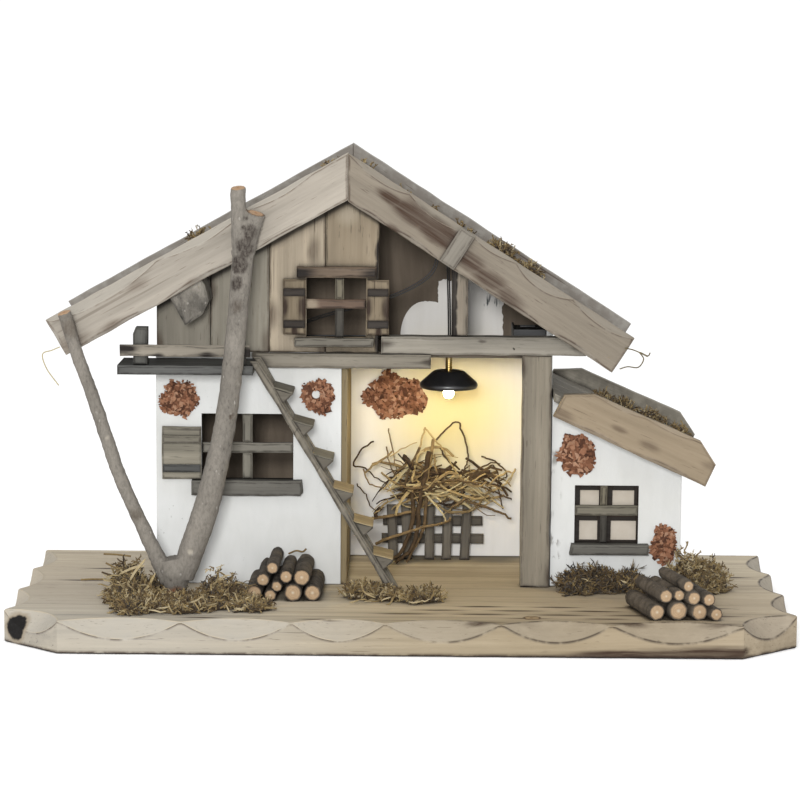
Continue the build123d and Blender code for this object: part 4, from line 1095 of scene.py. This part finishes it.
# log piles: x and z of each front end, and its radius
logs = {"left": {"ends": [(-113, 31.2, 6.1), (-100.5, 29.6, 4.5), (-83, 32, 6.7), (-68, 31.6, 6.3),
                          (-106.3, 41.7, 5), (-95.4, 36.8, 4.1), (-76.3, 43.6, 6.5), (-98.8, 51, 4.6),
                          (-88.3, 44.5, 5)], "front": -62, "stagger": -1, "run": (1, 64)},
        "right": {"ends": [(192, 31.4, 6.2), (208, 32.3, 7.1), (224, 31.4, 6.2), (236.5, 30, 4.8),
                           (198.6, 43.4, 5.2), (208.6, 44, 4.3), (219.5, 42.3, 5.2), (231, 41, 4.9),
                           (215.4, 51, 4.3)], "front": -122, "stagger": 1, "run": (-14, 54)}, "swell": 0.5}
logBark = bark("logBark", (106, 96, 84), (170, 158, 140), (18, 14, 11), 1.6, 0.6)
logEnd = endGrain("logEnd", (218, 186, 148), (248, 228, 198), (112, 86, 64))


def makeLogs(name, look, node):
    verts, faces, kinds, rings = [], [], [], []
    sides, steps = 28, 14
    for number, (x, z, radius) in enumerate(look["ends"]):
        front = look["front"] + look["stagger"] * (number % 3)
        start, run = Vector((x, front, z)), Vector((look["run"][0], look["run"][1], 0))
        ahead = run.normalized()
        across = ahead.cross(Vector((0, 0, 1))).normalized()
        first = len(verts)
        for i in range(steps + 1):
            for k in range(sides):
                angle = 2 * math.pi * k / sides
                ray = across * math.cos(angle) + Vector((0, 0, 1)) * math.sin(angle)
                rough = noise.noise(Vector((math.cos(angle) * 2.2 + number * 9, math.sin(angle) * 2.2,
                                            i * 0.12))) * 0.5
                rough += noise.noise(Vector((math.cos(angle) * 7, math.sin(angle) * 7 + number * 5,
                                             i * 0.3))) * 0.3
                lip = 0.45 if i in (0, steps) else 0
                spot = start + run * (i / steps) + ray * (radius + logs["swell"] + rough - 0.2 - lip)
                verts.append(Vector((spot.x, spot.y, max(spot.z, boardTop + 0.05))))
                rings.append(1.0)
        for i in range(steps):
            for k in range(sides):
                a, b = first + i * sides + k, first + i * sides + (k + 1) % sides
                faces.append((a, b, b + sides, a + sides))
                kinds.append(0)
        for rim, sign in ((first, -1), (first + steps * sides, 1)):
            before = list(range(rim, rim + sides))
            middle = sum((verts[k] for k in before), Vector()) / sides
            for share in (0.88, 0.55, 0.25):
                ring = []
                for k in range(sides):
                    ring.append(len(verts))
                    bulge = ahead * sign * (0.25 * (1 - share))
                    verts.append(middle + (verts[rim + k] - middle) * share + bulge)
                    rings.append(share)
                for k in range(sides):
                    j = (k + 1) % sides
                    faces.append((before[k], before[j], ring[j], ring[k]))
                    kinds.append(0 if share == 0.88 else 1)
                before = ring
            verts.append(middle + ahead * sign * 0.3)
            rings.append(0.0)
            for k in range(sides):
                faces.append((before[k], before[(k + 1) % sides], len(verts) - 1))
                kinds.append(1)
    mesh = bpy.data.meshes.new(name)
    mesh.from_pydata([v * mm for v in verts], [], faces)
    mesh.polygons.foreach_set("material_index", kinds)
    mesh.attributes.new("ring", "FLOAT", "POINT").data.foreach_set("value", rings)
    outwardFaces(mesh)
    settle(mesh, 50)
    piece(name, mesh, [logBark, logEnd], [node], "bark")


makeLogs("leftLogPile", logs["left"], "left_log_pile")
makeLogs("rightLogPile", logs["right"], "right_log_pile")
print("logs stacked")

# hay rack and its twigs
rack = {"pickets": ((-9, 2), (3, 2), (23, 0), (38, -1), (54, -2)), "half": 4, "thick": 4,
        "rails": (("rackRailLow", 38, 46, 0), ("rackRailHigh", 53, 61, 1))}


def makeRack(look):
    grey = wood("rackGrey", (132, 124, 111), turn=90, seed=15.0, worn=0.85, burnt=(52, 45, 38), blotch=0.3)
    flat = wood("rackRail", (126, 118, 105), seed=15.6, worn=0.85, burnt=(52, 45, 38), blotch=0.3)
    left, right, front, back, foot, top = boxOf("hay_rack")
    middle, half = front + look["thick"], look["half"]
    for k, (x, lean) in enumerate(look["pickets"]):
        outline = [(x + lean - half, foot), (x + lean + half, foot), (x + half, top), (x - half, top)]
        carved("rackPicket" + str(k + 1), outline, front, middle, grey, ["hay_rack"] if k == 0 else (),
               edge=0.7, wobble=0.6, seed=90.0 + k)
    for name, low, high, short in look["rails"]:
        carved(name, rect(left + short, right - short, low, high), middle, back, flat, (), edge=0.7,
               wobble=0.6, seed=96.0 + short)


hay = {
    # least and most y and least z of the heaps' middles, then the room that their strands keep to
    "seed": 5, "middles": (86, 108, 74), "room": (-40, 90, 84, 121, 66),
    # centre, spread, count, half lengths and gloom of each heap
    "heaps": [((32, 97, 90), (25, 7, 8), 122, (7, 26), 1.1), ((14, 99, 92), (13, 4, 7), 54, (6, 15), 2.6)],
    # tone, thickness and run of the strands that stand out of them
    "long": [
        (0.2, 0.9, [(27, 95, 127), (35, 95, 136), (45, 95, 143), (49.5, 95, 133), (53, 95, 122),
                    (53, 95, 110), (50, 96, 98)]),
        (0.75, 1.0, [(8, 92, 94), (11, 92, 108), (14, 92, 122), (18, 92, 137), (20.6, 92, 136),
                     (28, 92, 127), (36, 92, 116), (46, 93, 100)]),
        (0.45, 0.6, [(-12, 97, 137), (-9, 97, 123), (-5.6, 97, 107), (-2, 97, 92)]),
        (0.15, 0.8, [(-23.6, 94, 127), (-33, 94, 120), (-41, 94, 107), (-32, 94, 105), (-25, 94, 99),
                     (-12, 95, 90)]),
        (0.2, 0.6, [(-37.7, 90, 92), (-30, 90, 82), (-23, 90, 70), (-14, 92, 72)]),
        (0.5, 0.7, [(-32, 96, 103), (-28, 96, 92), (-19, 96, 88), (-6, 96, 84)]),
        (0.15, 0.8, [(65, 92, 115), (76, 92, 111), (85, 92, 103), (84, 92, 97), (78.6, 92, 93),
                     (80.5, 92, 83), (83, 92, 71)]),
        (0.8, 0.9, [(93, 93, 104), (88, 93, 96), (78.7, 93, 88), (62, 94, 82)]),
        (0.3, 1.4, [(50, 92, 80), (60, 90, 76), (72, 90, 72), (83, 90, 68), (90, 90, 63)]),
        (0.4, 1.5, [(-25, 88, 63.4), (-9, 88, 65.4), (10, 89, 70), (22, 92, 78)]),
        (0.4, 1.4, [(-22, 86, 43), (-4, 86, 49.5), (16, 86, 56), (36, 86, 61), (40, 88, 64)]),
        (0.12, 2.3, [(22, 91, 119), (17.6, 89, 93), (13.5, 87, 72), (13, 87, 54), (7.4, 87, 37),
                     (-5, 88, 27.5)]),
        (0.2, 2.0, [(8, 90, 91), (9, 88, 72), (6.5, 88, 51), (-1.7, 89, 34), (-10, 90, 27.2)]),
        (0.3, 1.5, [(20, 91, 84), (18, 90, 58), (12, 90, 42), (4, 90, 27)]),
        (0.02, 2.4, [(1, 89, 115), (5, 88, 111), (9, 88, 104)]),
        (0.05, 2.0, [(-17, 89, 72), (-20, 88, 70), (-22, 88, 66), (-19, 88, 64)]),
        (0.95, 0.9, [(18, 87, 86), (26.6, 87, 76), (35, 87, 65.5), (36, 87, 60)]),
        (0.7, 1.0, [(18, 90, 87), (32, 89, 82.6), (50, 89, 90), (68, 90, 101)]),
        (0.35, 0.7, [(-13, 96, 122), (-11, 96, 110), (-4.6, 96, 96), (8, 96, 86)]),
        (0.8, 0.6, [(-10.7, 97, 113), (0, 97, 120), (11.6, 97, 126)]),
        (0.2, 0.8, [(60, 94, 96), (68, 94, 102), (74, 94, 108), (78.5, 94, 101), (80, 94, 94)]),
        (0.6, 1.0, [(-18, 91, 101), (-4.6, 91, 92), (11.5, 91, 88), (27, 91, 92)]),
        (0.45, 1.5, [(25, 92, 129), (23.5, 91, 115), (21, 90, 101), (18, 90, 86), (16, 90, 74)]),
        (0.3, 1.2, [(14, 92, 122), (8, 92, 108), (4, 92, 98), (2, 93, 88)])]}


def makeHay(look):
    rng = random.Random(look["seed"])
    store = newStore()
    for shade, thick, points in look["long"]:
        run = [p + wander(rng, 0.35) for p in curveThrough([Vector(p) for p in points], 5)]
        strand(store, run, [thick * (1 - 0.35 * i / len(run)) for i in range(len(run))], shade, 6)
    first, last, lowest = look["middles"]
    left, right, front, back, low = look["room"]
    for centre, spread, count, reach, gloom in look["heaps"]:
        for _ in range(count):
            middle = Vector([rng.gauss(c, s) for c, s in zip(centre, spread)])
            middle.y, middle.z = min(max(middle.y, first), last), max(middle.z, lowest)
            aim = Vector((rng.choice((-1, 1)), rng.gauss(0, 0.2), rng.gauss(0.0, 0.6))).normalized()
            bend = Vector((rng.gauss(0, 0.2), rng.gauss(0, 0.15), rng.gauss(0.1, 0.5)))
            half = rng.uniform(*reach)
            points = []
            for i in range(9):
                t = i / 4 - 1
                p = middle + aim * half * t + bend * half * 0.5 * (1 - t * t) + wander(rng, 0.45)
                x, y = min(max(p.x, left), right), min(max(p.y, front), back)
                points.append(Vector((x, y, max(p.z, low))))
            thick = rng.choice((0.45, 0.6, 0.8, 1.1, 1.5))
            strand(store, points, [thick * (1 - 0.3 * abs(i / 4 - 1)) for i in range(9)],
                   rng.random() ** gloom, 5)
    twig = toned("hayTwigs",
                 [(0.0, (62, 47, 36)), (0.3, (120, 97, 68)), (0.55, (178, 150, 104)),
                  (0.8, (222, 196, 140)), (1.0, (246, 228, 178))], rough=180)
    stored("hayBundle", store, [twig], ["hay_bundle"], "hay")


makeRack(rack)
makeHay(hay)
print("hay laid")

# moss: clumps of x, y, half length, half depth, height and tint
moss = {
    "ground": [(-204, -72, 26, 24, 22, 0.45), (-190, -98, 30, 20, 13, 0.5), (-160, -100, 28, 18, 12, 0.5),
               (-136, -80, 20, 20, 33, 0.46), (-214, -50, 18, 18, 34, 0.5), (-186, -46, 20, 14, 14, 0.42),
               (-118, -94, 20, 12, 8, 0.5), (-20, -54, 28, 20, 10, 0.45), (6, -58, 24, 18, 9, 0.5),
               (136, -16, 13, 14, 27, 0.24), (152, -16, 16, 15, 25, 0.25), (174, -14, 16, 14, 20, 0.22),
               (234, -8, 18, 13, 32, 0.5), (226, -12, 18, 13, 40, 0.54), (242, -6, 18, 14, 28, 0.54)],
    # side, distance down the slope, y, half length, half depth, height and how thickly it grows
    "roof": [(-1, 146, 84, 12, 9, 15, 1.1), (-1, 24, 92, 10, 8, 11, 0.7), (1, 22, 96, 9, 8, 8, 0.4),
             (1, 54, 98, 12, 8, 6, 0.15), (1, 82, 90, 11, 9, 6, 0.2), (1, 116, 96, 13, 9, 7, 0.35),
             (1, 150, 92, 18, 11, 14, 1.3), (1, 178, 98, 12, 9, 12, 1.2)],
    "annex": [(160, 70, 10), (180, 88, 12), (202, 96, 17), (226, 84, 9)],
    "twigs": [[(-253, -6, 29), (-244, -8, 30), (-232, -14, 31), (-222, -26, 33)],
              [(-236, 4, 48), (-226, 2, 48), (-214, -2, 47.5)],
              [(-236, -10, 36), (-226, -14, 34), (-214, -18, 34), (-202, -26, 38)],
              [(-234, 2, 41), (-222, -6, 38), (-208, -14, 42)],
              [(-88, -25, 55), (-82, -28, 58), (-77, -30, 57.6), (-74, -30, 60)]],
    "strips": [[(-210, -74, 38), (-203, -77, 50), (-195, -76, 60)],
               [(-216, -66, 46), (-205, -72, 52), (-196, -72, 54)],
               [(-204, -82, 34), (-194, -84, 38), (-187, -82, 50)]],
    "density": 0.085, "shreds": 220, "seed": 11}


def sprig(store, rng, root, out, size, shade, limit):
    stem, aim = [root], out.copy()
    turn = wander(rng)
    for _ in range(4):
        aim = (aim + turn * 0.25 + wander(rng, 0.32)).normalized()
        stem.append(limit(stem[-1] + aim * size / 4))
    thick = rng.uniform(0.4, 0.8)
    strand(store, stem, [thick, thick, thick * 0.9, thick * 0.7, thick * 0.3], shade, 4)
    for i in (1, 2, 3, 3):
        side = (aim + wander(rng)).normalized()
        reach = size * rng.uniform(0.2, 0.42)
        mid = limit(stem[i] + side * reach * 0.55)
        tip = limit(mid + (side + wander(rng, 0.5)).normalized() * reach * 0.5)
        strand(store, [stem[i], mid, tip], [thick * 0.75, thick * 0.75, thick * 0.3],
               min(1, max(0, shade + rng.gauss(0.06, 0.12))), 3)


def mossDome(store, rng, place, axes, dims, shade, limit, size=(5.5, 11), share=1.0, core=True):
    along, across, up = axes
    grown, rows, cols = len(store["verts"]), 5 if core else -1, 16
    for i in range(rows + 1):  # a lumpy core, painted dark as the shade deep in the clump, so that no light shows through
        lift = i / rows * math.pi / 2
        for k in range(cols):
            turn = 2 * math.pi * k / cols
            flat = along * math.cos(turn) * dims[0] + across * math.sin(turn) * dims[1]
            p = place + 0.66 * (flat * math.cos(lift) + up * math.sin(lift) * dims[2])
            store["verts"].append(limit(p + noise.noise_vector(p * 0.2) * 1.8) * mm)
            store["tone"].append(0.12)
    for i in range(rows):
        for k in range(cols):
            a, b = grown + i * cols + k, grown + i * cols + (k + 1) % cols
            store["faces"].append((a, b, b + cols, a + cols))
    surface = math.pi * dims[0] * dims[1] + math.pi * (dims[0] + dims[1]) * dims[2] * 0.6
    for _ in range(int(moss["density"] * share * surface)):
        turn, lift = rng.uniform(0, 2 * math.pi), math.asin(rng.random() ** 0.9)
        ray = (math.cos(turn) * math.cos(lift), math.sin(turn) * math.cos(lift), math.sin(lift))
        lump = Vector((math.cos(turn), math.sin(turn), place.x * 0.1 + lift)) * 1.9
        uneven = 0.9 + 0.4 * noise.noise(lump)
        spot = along * ray[0] * dims[0] + across * ray[1] * dims[1] + up * ray[2] * dims[2]
        out = along * ray[0] / dims[0] + across * ray[1] / dims[1] + up * (ray[2] + 0.2) / dims[2]
        out.normalize()
        sprig(store, rng, limit(place + spot * uneven * rng.uniform(0.5, 0.9)), out, rng.uniform(*size),
              min(1, max(0, rng.gauss(shade, 0.2))), limit)


def makeMoss(look):
    rng = random.Random(look["seed"])
    noise.seed_set(look["seed"])  # or the lumps of the cores would follow the clock
    paint = toned("moss",
                  [(0.0, (46, 35, 22)), (0.3, (98, 78, 48)), (0.55, (146, 121, 77)),
                   (0.75, (178, 155, 106)), (1.0, (222, 204, 164))], rough=240, sheen=0.1)
    flat = (Vector((1, 0, 0)), Vector((0, 1, 0)), Vector((0, 0, 1)))
    store = newStore()
    annexLeft, annexRight = boxOf("annex_front_wall")[:2]

    def onBoard(p):  # above the board, and in front of the annex wall
        behind = annexLeft < p.x < annexRight + 0.5
        return Vector((p.x, min(p.y, wallFace - 0.5) if behind else p.y, max(p.z, boardTop + 0.5)))

    for x, y, length, depth, height, shade in look["ground"]:
        for k in range(4):  # each clump is a few smaller tufts
            dx, dy = rng.uniform(-0.5, 0.5) * length, rng.uniform(-0.5, 0.5) * depth
            share = rng.uniform(0.5, 0.75)
            tall = height * (1.0 if k == 0 else rng.uniform(0.4, 0.85))
            airy = shade < 0.3  # long open stems, with the wall showing through
            dims = (length * share, depth * share, tall * (0.7 if airy else 1))
            mossDome(store, rng, Vector((x + dx, y + dy, boardTop + 0.2)), flat, dims, shade, onBoard,
                     (8, 17) if airy else (5.5, 11), 0.9 if airy else 1.0, not airy)
    for _ in range(look["shreds"]):  # papery shreds and twigs mixed into it
        x, y, length, depth, height, shade = rng.choice(look["ground"][:9])
        turn, reach = rng.uniform(0, 6.28), rng.uniform(0.3, 1.1)
        lift = boardTop + 1.5 + height * max(0, 0.9 - reach * 0.8)
        root = Vector((x + math.cos(turn) * length * reach, y + math.sin(turn) * depth * reach, lift))
        aim = Vector((rng.gauss(0, 1), rng.gauss(0, 0.6), rng.gauss(0.1, 0.4))).normalized()
        size = rng.uniform(5, 15)
        points = [onBoard(root + aim * size * t + wander(rng, 0.5)) for t in (-0.5, -0.2, 0.2, 0.5)]
        strand(store, points, [0.3, 0.7, 0.7, 0.25], rng.uniform(0.6, 1.0), 4)
    for points in look["twigs"]:  # loose twigs to the left of the branch
        run = curveThrough([Vector(p) for p in points], 5)
        strand(store, run, [0.8] * len(run), rng.uniform(0.2, 0.6), 5)
    for points in look["strips"]:  # pale strips of inner bark
        run = curveThrough([Vector(p) for p in points], 4)
        strand(store, run, [0.4] + [1.2] * (len(run) - 2) + [0.3], rng.uniform(0.8, 0.95), 4)
    stored("groundMoss", store, [paint], ["ground_moss"], "moss")
    store = newStore()
    for side, along, y, length, depth, height, share in look["roof"]:
        angle = math.radians(leftPitch if side < 0 else rightPitch)
        down = Vector((side * math.cos(angle), 0, -math.sin(angle)))
        up = Vector((side * math.sin(angle), 0, math.cos(angle)))
        mossDome(store, rng, Vector(onSlope(side, along, 11.7, y)), (down, flat[1], up),
                 (length, depth, height), 0.52, lambda p: p, (4, 8), share, share > 0.5)
    angle = math.radians(annexPitch)
    down = Vector((math.cos(angle), 0, -math.sin(angle)))
    up = Vector((math.sin(angle), 0, math.cos(angle)))
    for x, y, length in look["annex"]:
        mossDome(store, rng, Vector((x, y, annexZ(x, 12.7))), (down, flat[1], up), (length, 10, 9), 0.46,
                 lambda p: p, (4, 8))
    stored("roofMoss", store, [paint], ["roof_moss"], "moss")


makeMoss(moss)
print("moss grown")

# terracotta crumbs: x, z, width, height, wall face, a bare spot of x, z and radius, and how coarse they are
crumbs = {"patches": [(-176, 172, 30, 31, wallFace, None, 0.66),
                      (-66, 176, 28, 29, wallFace, (-68, 177, 3.2), 0.66),
                      (-7, 160, 50, 42, backFace, None, 0.85),
                      (138, 131, 35, 31, wallFace, (150, 132, 2.4), 0.95),
                      (208, 59, 22, 33, wallFace, None, 0.8)], "perArea": 0.33, "seed": 23}


def chip(store, rng, centre, size, shade, wall):
    work = bmesh.new()
    turn = Matrix.Rotation(rng.uniform(0, 6.28), 3, "Y")
    turn = turn @ Matrix.Rotation(rng.gauss(0, 0.26), 3, "X")
    turn = turn @ Matrix.Rotation(rng.gauss(0, 0.26), 3, "Z")
    for _ in range(9):
        p = centre + turn @ Vector([rng.uniform(-s, s) for s in size])
        work.verts.new(Vector((p.x, min(p.y, wall - 0.05), p.z)))
    bmesh.ops.convex_hull(work, input=work.verts)
    bmesh.ops.delete(work, geom=[v for v in work.verts if not v.link_faces], context="VERTS")
    start = len(store["verts"])
    work.verts.index_update()
    for v in work.verts:
        store["verts"].append(v.co * mm)
        store["tone"].append(shade)
    for face in work.faces:
        store["faces"].append(tuple(start + v.index for v in face.verts))
    work.free()


def makeCrumbs(look):
    rng = random.Random(look["seed"])
    store = newStore()
    for x, z, width, height, wall, bare, coarse in look["patches"]:
        # a thin bed under the flakes, dark as painted shade between them, ringed where the wall shows
        # through
        start, around = len(store["verts"]), 40
        middle = bare if bare and math.hypot(bare[0] - x, bare[1] - z) < 5 else (x, z, 0.4)
        for deep, shares in ((0.05, (0, 1)), (0.8, (1, 0))):
            for share in shares:
                for k in range(around):
                    angle = 2 * math.pi * k / around
                    ray = Vector((math.cos(angle), math.sin(angle)))
                    swell = 0.86 + 0.28 * noise.noise(Vector((ray.x * 1.6, ray.y * 1.6, x)))
                    swell += 0.08 * noise.noise(Vector((ray.x * 7, ray.y * 7, x)))
                    inside = Vector(middle[:2]) + ray * middle[2]
                    spot = inside.lerp(Vector((x + width / 2 * swell * ray.x,
                                               z + height / 2 * swell * ray.y)), share)
                    store["verts"].append(Vector((spot.x, wall - deep, spot.y)) * mm)
                    store["tone"].append(0.12)
        for layer in range(4):
            for k in range(around):
                j, this, after = (k + 1) % around, start + layer * around, start + (layer + 1) % 4 * around
                store["faces"].append((this + k, after + k, after + j, this + j))
        count = int(look["perArea"] * width * height * 0.785 / coarse ** 1.6)
        for k in range(count):
            angle, reach = rng.uniform(0, 6.28), math.sqrt(rng.random())
            swell = 0.94 + 0.3 * noise.noise(Vector((math.cos(angle) * 1.6, math.sin(angle) * 1.6, x)))
            cx = x + width / 2 * swell * reach * math.cos(angle)
            cz = z + height / 2 * swell * reach * math.sin(angle)
            if bare and math.hypot(cx - bare[0], cz - bare[1]) < bare[2] + 1:
                continue
            top = k > count * 0.6  # larger flakes lie on a bed of small ones, which are toned darker as painted shade under them
            pile = rng.uniform(1.3, 2.6) * (1.1 - reach * 0.4) if top else rng.uniform(0.3, 1.2)
            wide = coarse * (rng.uniform(2.3, 4.3) if top else rng.uniform(1.3, 2.4))
            chip(store, rng, Vector((cx, wall - pile, cz)),
                 (wide, rng.uniform(0.4, 0.7), wide * rng.uniform(0.6, 1)),
                 rng.random() * (1.0 if top else 0.6), wall)
    clay = toned("terracotta",
                 [(0.0, (80, 50, 36)), (0.3, (144, 96, 70)), (0.6, (176, 122, 92)), (0.85, (194, 144, 112)),
                  (1.0, (210, 166, 136))], rough=320, depth=0.0006)
    stored("brickPatches", store, [clay], ["brick_patches"], "terracotta_crumb", 25)


makeCrumbs(crumbs)
print("crumbs stuck on")

# lamp
lamp = {"axis": (36.7, 36.7), "sides": 64, "glow": 350.0, "light": (1.0, 0.8, 0.4, 1),
        "shade": [(2.8, 192.2), (2.8, 193.05), (9.8, 193), (11, 192.8), (12.2, 192.3), (13.2, 191.6),
                  (17.5, 187.9), (21.6, 184.2), (22.7, 183), (23.2, 182), (23.2, 181), (22.9, 180.2),
                  (22.3, 179.1), (21.9, 178.85), (21.4, 179), (21.7, 179.6), (22.1, 180.4), (22.3, 181.2),
                  (22.2, 182), (21.8, 182.7), (20.9, 183.8), (17, 187.3), (12.6, 191.1), (11.4, 191.9),
                  (10, 192.2)],
        "bulb": [(0.01, 170.3), (1.5, 170.6), (2.9, 171.5), (3.8, 172.8), (4.2, 174.5), (3.9, 176.2),
                 (3.1, 178), (2.5, 180), (2.4, 186), (0.01, 186)]}


def spun(name, profile, closed, mats, stands, slot):
    verts, faces = [], []
    x, y = lamp["axis"]
    sides, n = lamp["sides"], len(profile)
    for radius, z in profile:
        for k in range(sides):
            angle = 2 * math.pi * k / sides
            verts.append(Vector((x + radius * math.cos(angle), y + radius * math.sin(angle), z)) * mm)
    for i in range(n if closed else n - 1):
        j = (i + 1) % n
        for k in range(sides):
            m = (k + 1) % sides
            faces.append((i * sides + k, i * sides + m, j * sides + m, j * sides + k))
    if not closed:
        faces += [tuple(range(sides)), tuple(range((n - 1) * sides, n * sides))]
    mesh = bpy.data.meshes.new(name)
    mesh.from_pydata(verts, [], faces)
    outwardFaces(mesh)
    settle(mesh, 38)
    return piece(name, mesh, mats, stands, slot, "lamp")


def makeLamp(look):
    brass = smooth("brass", (250, 226, 166), (226, 190, 112), 0.3, sockets={"Metallic": 1.0})
    enamel = smooth("blackEnamel", (44, 44, 46), (30, 30, 32), 0.4,
                    sockets={"Coat Weight": 0.2, "Coat Roughness": 0.25})
    thread = [(0.01, 186), (2.3, 186)]
    z = 186.5
    while z < 203.5:  # rolled thread of the screw socket
        thread += [(2.5, z), (2.75, z + 0.5), (2.75, z + 0.9), (2.5, z + 1.4)]
        z += 1.7
    thread += [(2.6, 204), (2.4, 204.5), (0.01, 204.5)]
    spun("lampSocket", thread, False, [brass], ["lamp_socket"], "brass")
    spun("lampShade", look["shade"], True, [enamel], ["lamp_shade"], "black_enamel")
    sockets = {"Roughness": 0.15, "Emission Strength": look["glow"], "Emission Color": look["light"]}
    glass, tree, place = startMaterial("bulbGlow", sockets)
    wire(tree, ramp(tree, noiseOf(tree, place, 200), (0.3, rgb(250, 236, 206)), (0.7, rgb(255, 246, 226))))
    spun("lampBulb", look["bulb"], False, [glass], ["lamp_bulb"], "bulb_glass")


makeLamp(lamp)

# lead: twin wires from the socket, up to the staple, across the loft to the battery case
lead = {"diameter": 1.2, "twin": (1.5, 1.4, -1.4), "lengths": (0.554, 0.551),
        "route": [(36, 36, 205.5), (36.2, 35.6, 222), (35.6, 31, 247), (34.6, 24, 272), (33.6, 18, 294),
                  (26.5, 15.6, 297.6), (25, 14.6, 275.5), (10.5, 15, 263.5), (-11, 17, 253.4),
                  (-36, 20, 246), (-60, 24.5, 239), (-82, 30.5, 231), (-104, 39, 221.5), (-121, 51, 214.6),
                  (-129, 67, 212.2), (-125, 85, 212.3), (-110, 98.5, 212.2), (-84, 106, 212.3),
                  (-52, 108.5, 212.2), (-20, 108, 212.3), (12, 104.5, 212.2), (38, 96, 212.3),
                  (54, 82, 212.2), (63, 67, 212.3), (74.5, 58.5, 212.2), (87.3, 57.5, 212.3)]}


def makeLead(look):
    rubber = smooth("blackRubber", (36, 34, 32), (20, 19, 18), 0.42, sockets={"Specular IOR Level": 0.35})
    shift = Vector(look["twin"])
    second = [Vector(p) + shift for p in look["route"]]
    second[0].z = look["route"][0][2]
    second[-1].x = look["route"][-1][0]
    for name, route, length in (("lampLeadFirst", [Vector(p) for p in look["route"]], look["lengths"][0]),
                                ("lampLeadSecond", second, look["lengths"][1])):
        data = bpy.data.curves.new(name, "CURVE")
        data.dimensions = "3D"
        data.bevel_depth = look["diameter"] / 2 * mm
        data.bevel_resolution = 3
        data.use_fill_caps = True
        run = data.splines.new("NURBS")
        run.points.add(len(route) - 1)
        for point, p in zip(run.points, route):
            point.co = (*(p * mm), 1)
        run.order_u = 3
        run.use_endpoint_u = True
        run.resolution_u = 10
        data.materials.append(rubber)
        obj = bpy.data.objects.new(name, data)
        bpy.context.scene.collection.objects.link(obj)
        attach(obj, "stable")
        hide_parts("lamp_lead")


makeLead(lead)

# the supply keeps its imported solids
supply = {"lead_staples": smooth("stapleSteel", (206, 206, 208), (170, 170, 172), 0.32,
                                 sockets={"Metallic": 1.0}),
          "battery_case": smooth("blackPlastic", (36, 36, 37), (24, 24, 25), 0.5, depth=0.0002,
                                 sockets={"Specular IOR Level": 0.3}),
          "battery_cells": smooth("cellJacket", (112, 128, 138), (88, 102, 112), 0.35)}
supply["battery_contacts"] = supply["lead_staples"]
supply["battery_lid"] = supply["battery_switch"] = supply["battery_case"]
for node, mat in supply.items():
    nodes[node].data.materials.clear()
    nodes[node].data.materials.append(mat)
print("lamp and supply ready")

# straw caught at the eaves
eaves = {"left": [[(-262, -52.5, 219.5), (-268, -54, 217), (-275, -55, 214), (-272, -55, 203),
                   (-263, -54, 190)]],
         "right": [[(166, -52.5, 206), (172, -54, 208), (180, -55, 207.7), (184, -55, 214), (181, -54, 219),
                    (187, -55, 216.5), (189, -55, 219)],
                   [(170, -52.5, 222), (176, -54.5, 221), (182, -55, 218.5), (187, -56, 216)]]}


def makeEaves(look):
    straw = toned("eaveStraw", [(0.0, (72, 62, 48)), (0.6, (196, 178, 128)), (1.0, (232, 220, 176))])
    store = newStore()
    for side, shade, thick in (("left", 0.75, 0.45), ("right", 0.15, 0.5)):
        for points in look[side]:
            run = curveThrough([Vector(p) for p in points], 6)
            strand(store, run, [thick] * len(run), shade, 5)
    stored("eaveStraw", store, [straw], (), "hay")


makeEaves(eaves)

# studio: white surroundings, a soft light by the camera and a larger one above it on the left
studio = {"sky": 1.08,
          "lights": [("front", 52.0, 0.3, (-0.12, -2.3, 0.62)), ("key", 8.0, 1.2, (-1.2, -1.6, 1.9))]}


def makeStudio(look):
    world = bpy.data.worlds.new("studio")
    world.use_nodes = True
    world.node_tree.nodes["Background"].inputs["Color"].default_value = (1, 1, 1, 1)
    world.node_tree.nodes["Background"].inputs["Strength"].default_value = look["sky"]
    bpy.context.scene.world = world
    mesh = bpy.data.meshes.new("floor")
    far = 30
    mesh.from_pydata([(x, y, -0.0003) for x, y in rect(-far, far, -far, far)], [], [(0, 1, 2, 3)])
    pale, tree, place = startMaterial("paleFloor", {"Roughness": 0.9, "Specular IOR Level": 0.1})
    wire(tree, ramp(tree, noiseOf(tree, place, 3), (0.3, tone(0.95)), (0.7, tone(0.98))))
    mesh.materials.append(pale)
    floor = bpy.data.objects.new("floor", mesh)
    bpy.context.scene.collection.objects.link(floor)
    for name, power, size, place in look["lights"]:
        soft = bpy.data.lights.new(name, "AREA")
        soft.energy, soft.size = power, size
        light = bpy.data.objects.new(name, soft)
        light.location = place
        light.rotation_euler = (Vector((0, 0, 0.18)) - light.location).to_track_quat("-Z", "Y").to_euler()
        bpy.context.scene.collection.objects.link(light)


makeStudio(studio)
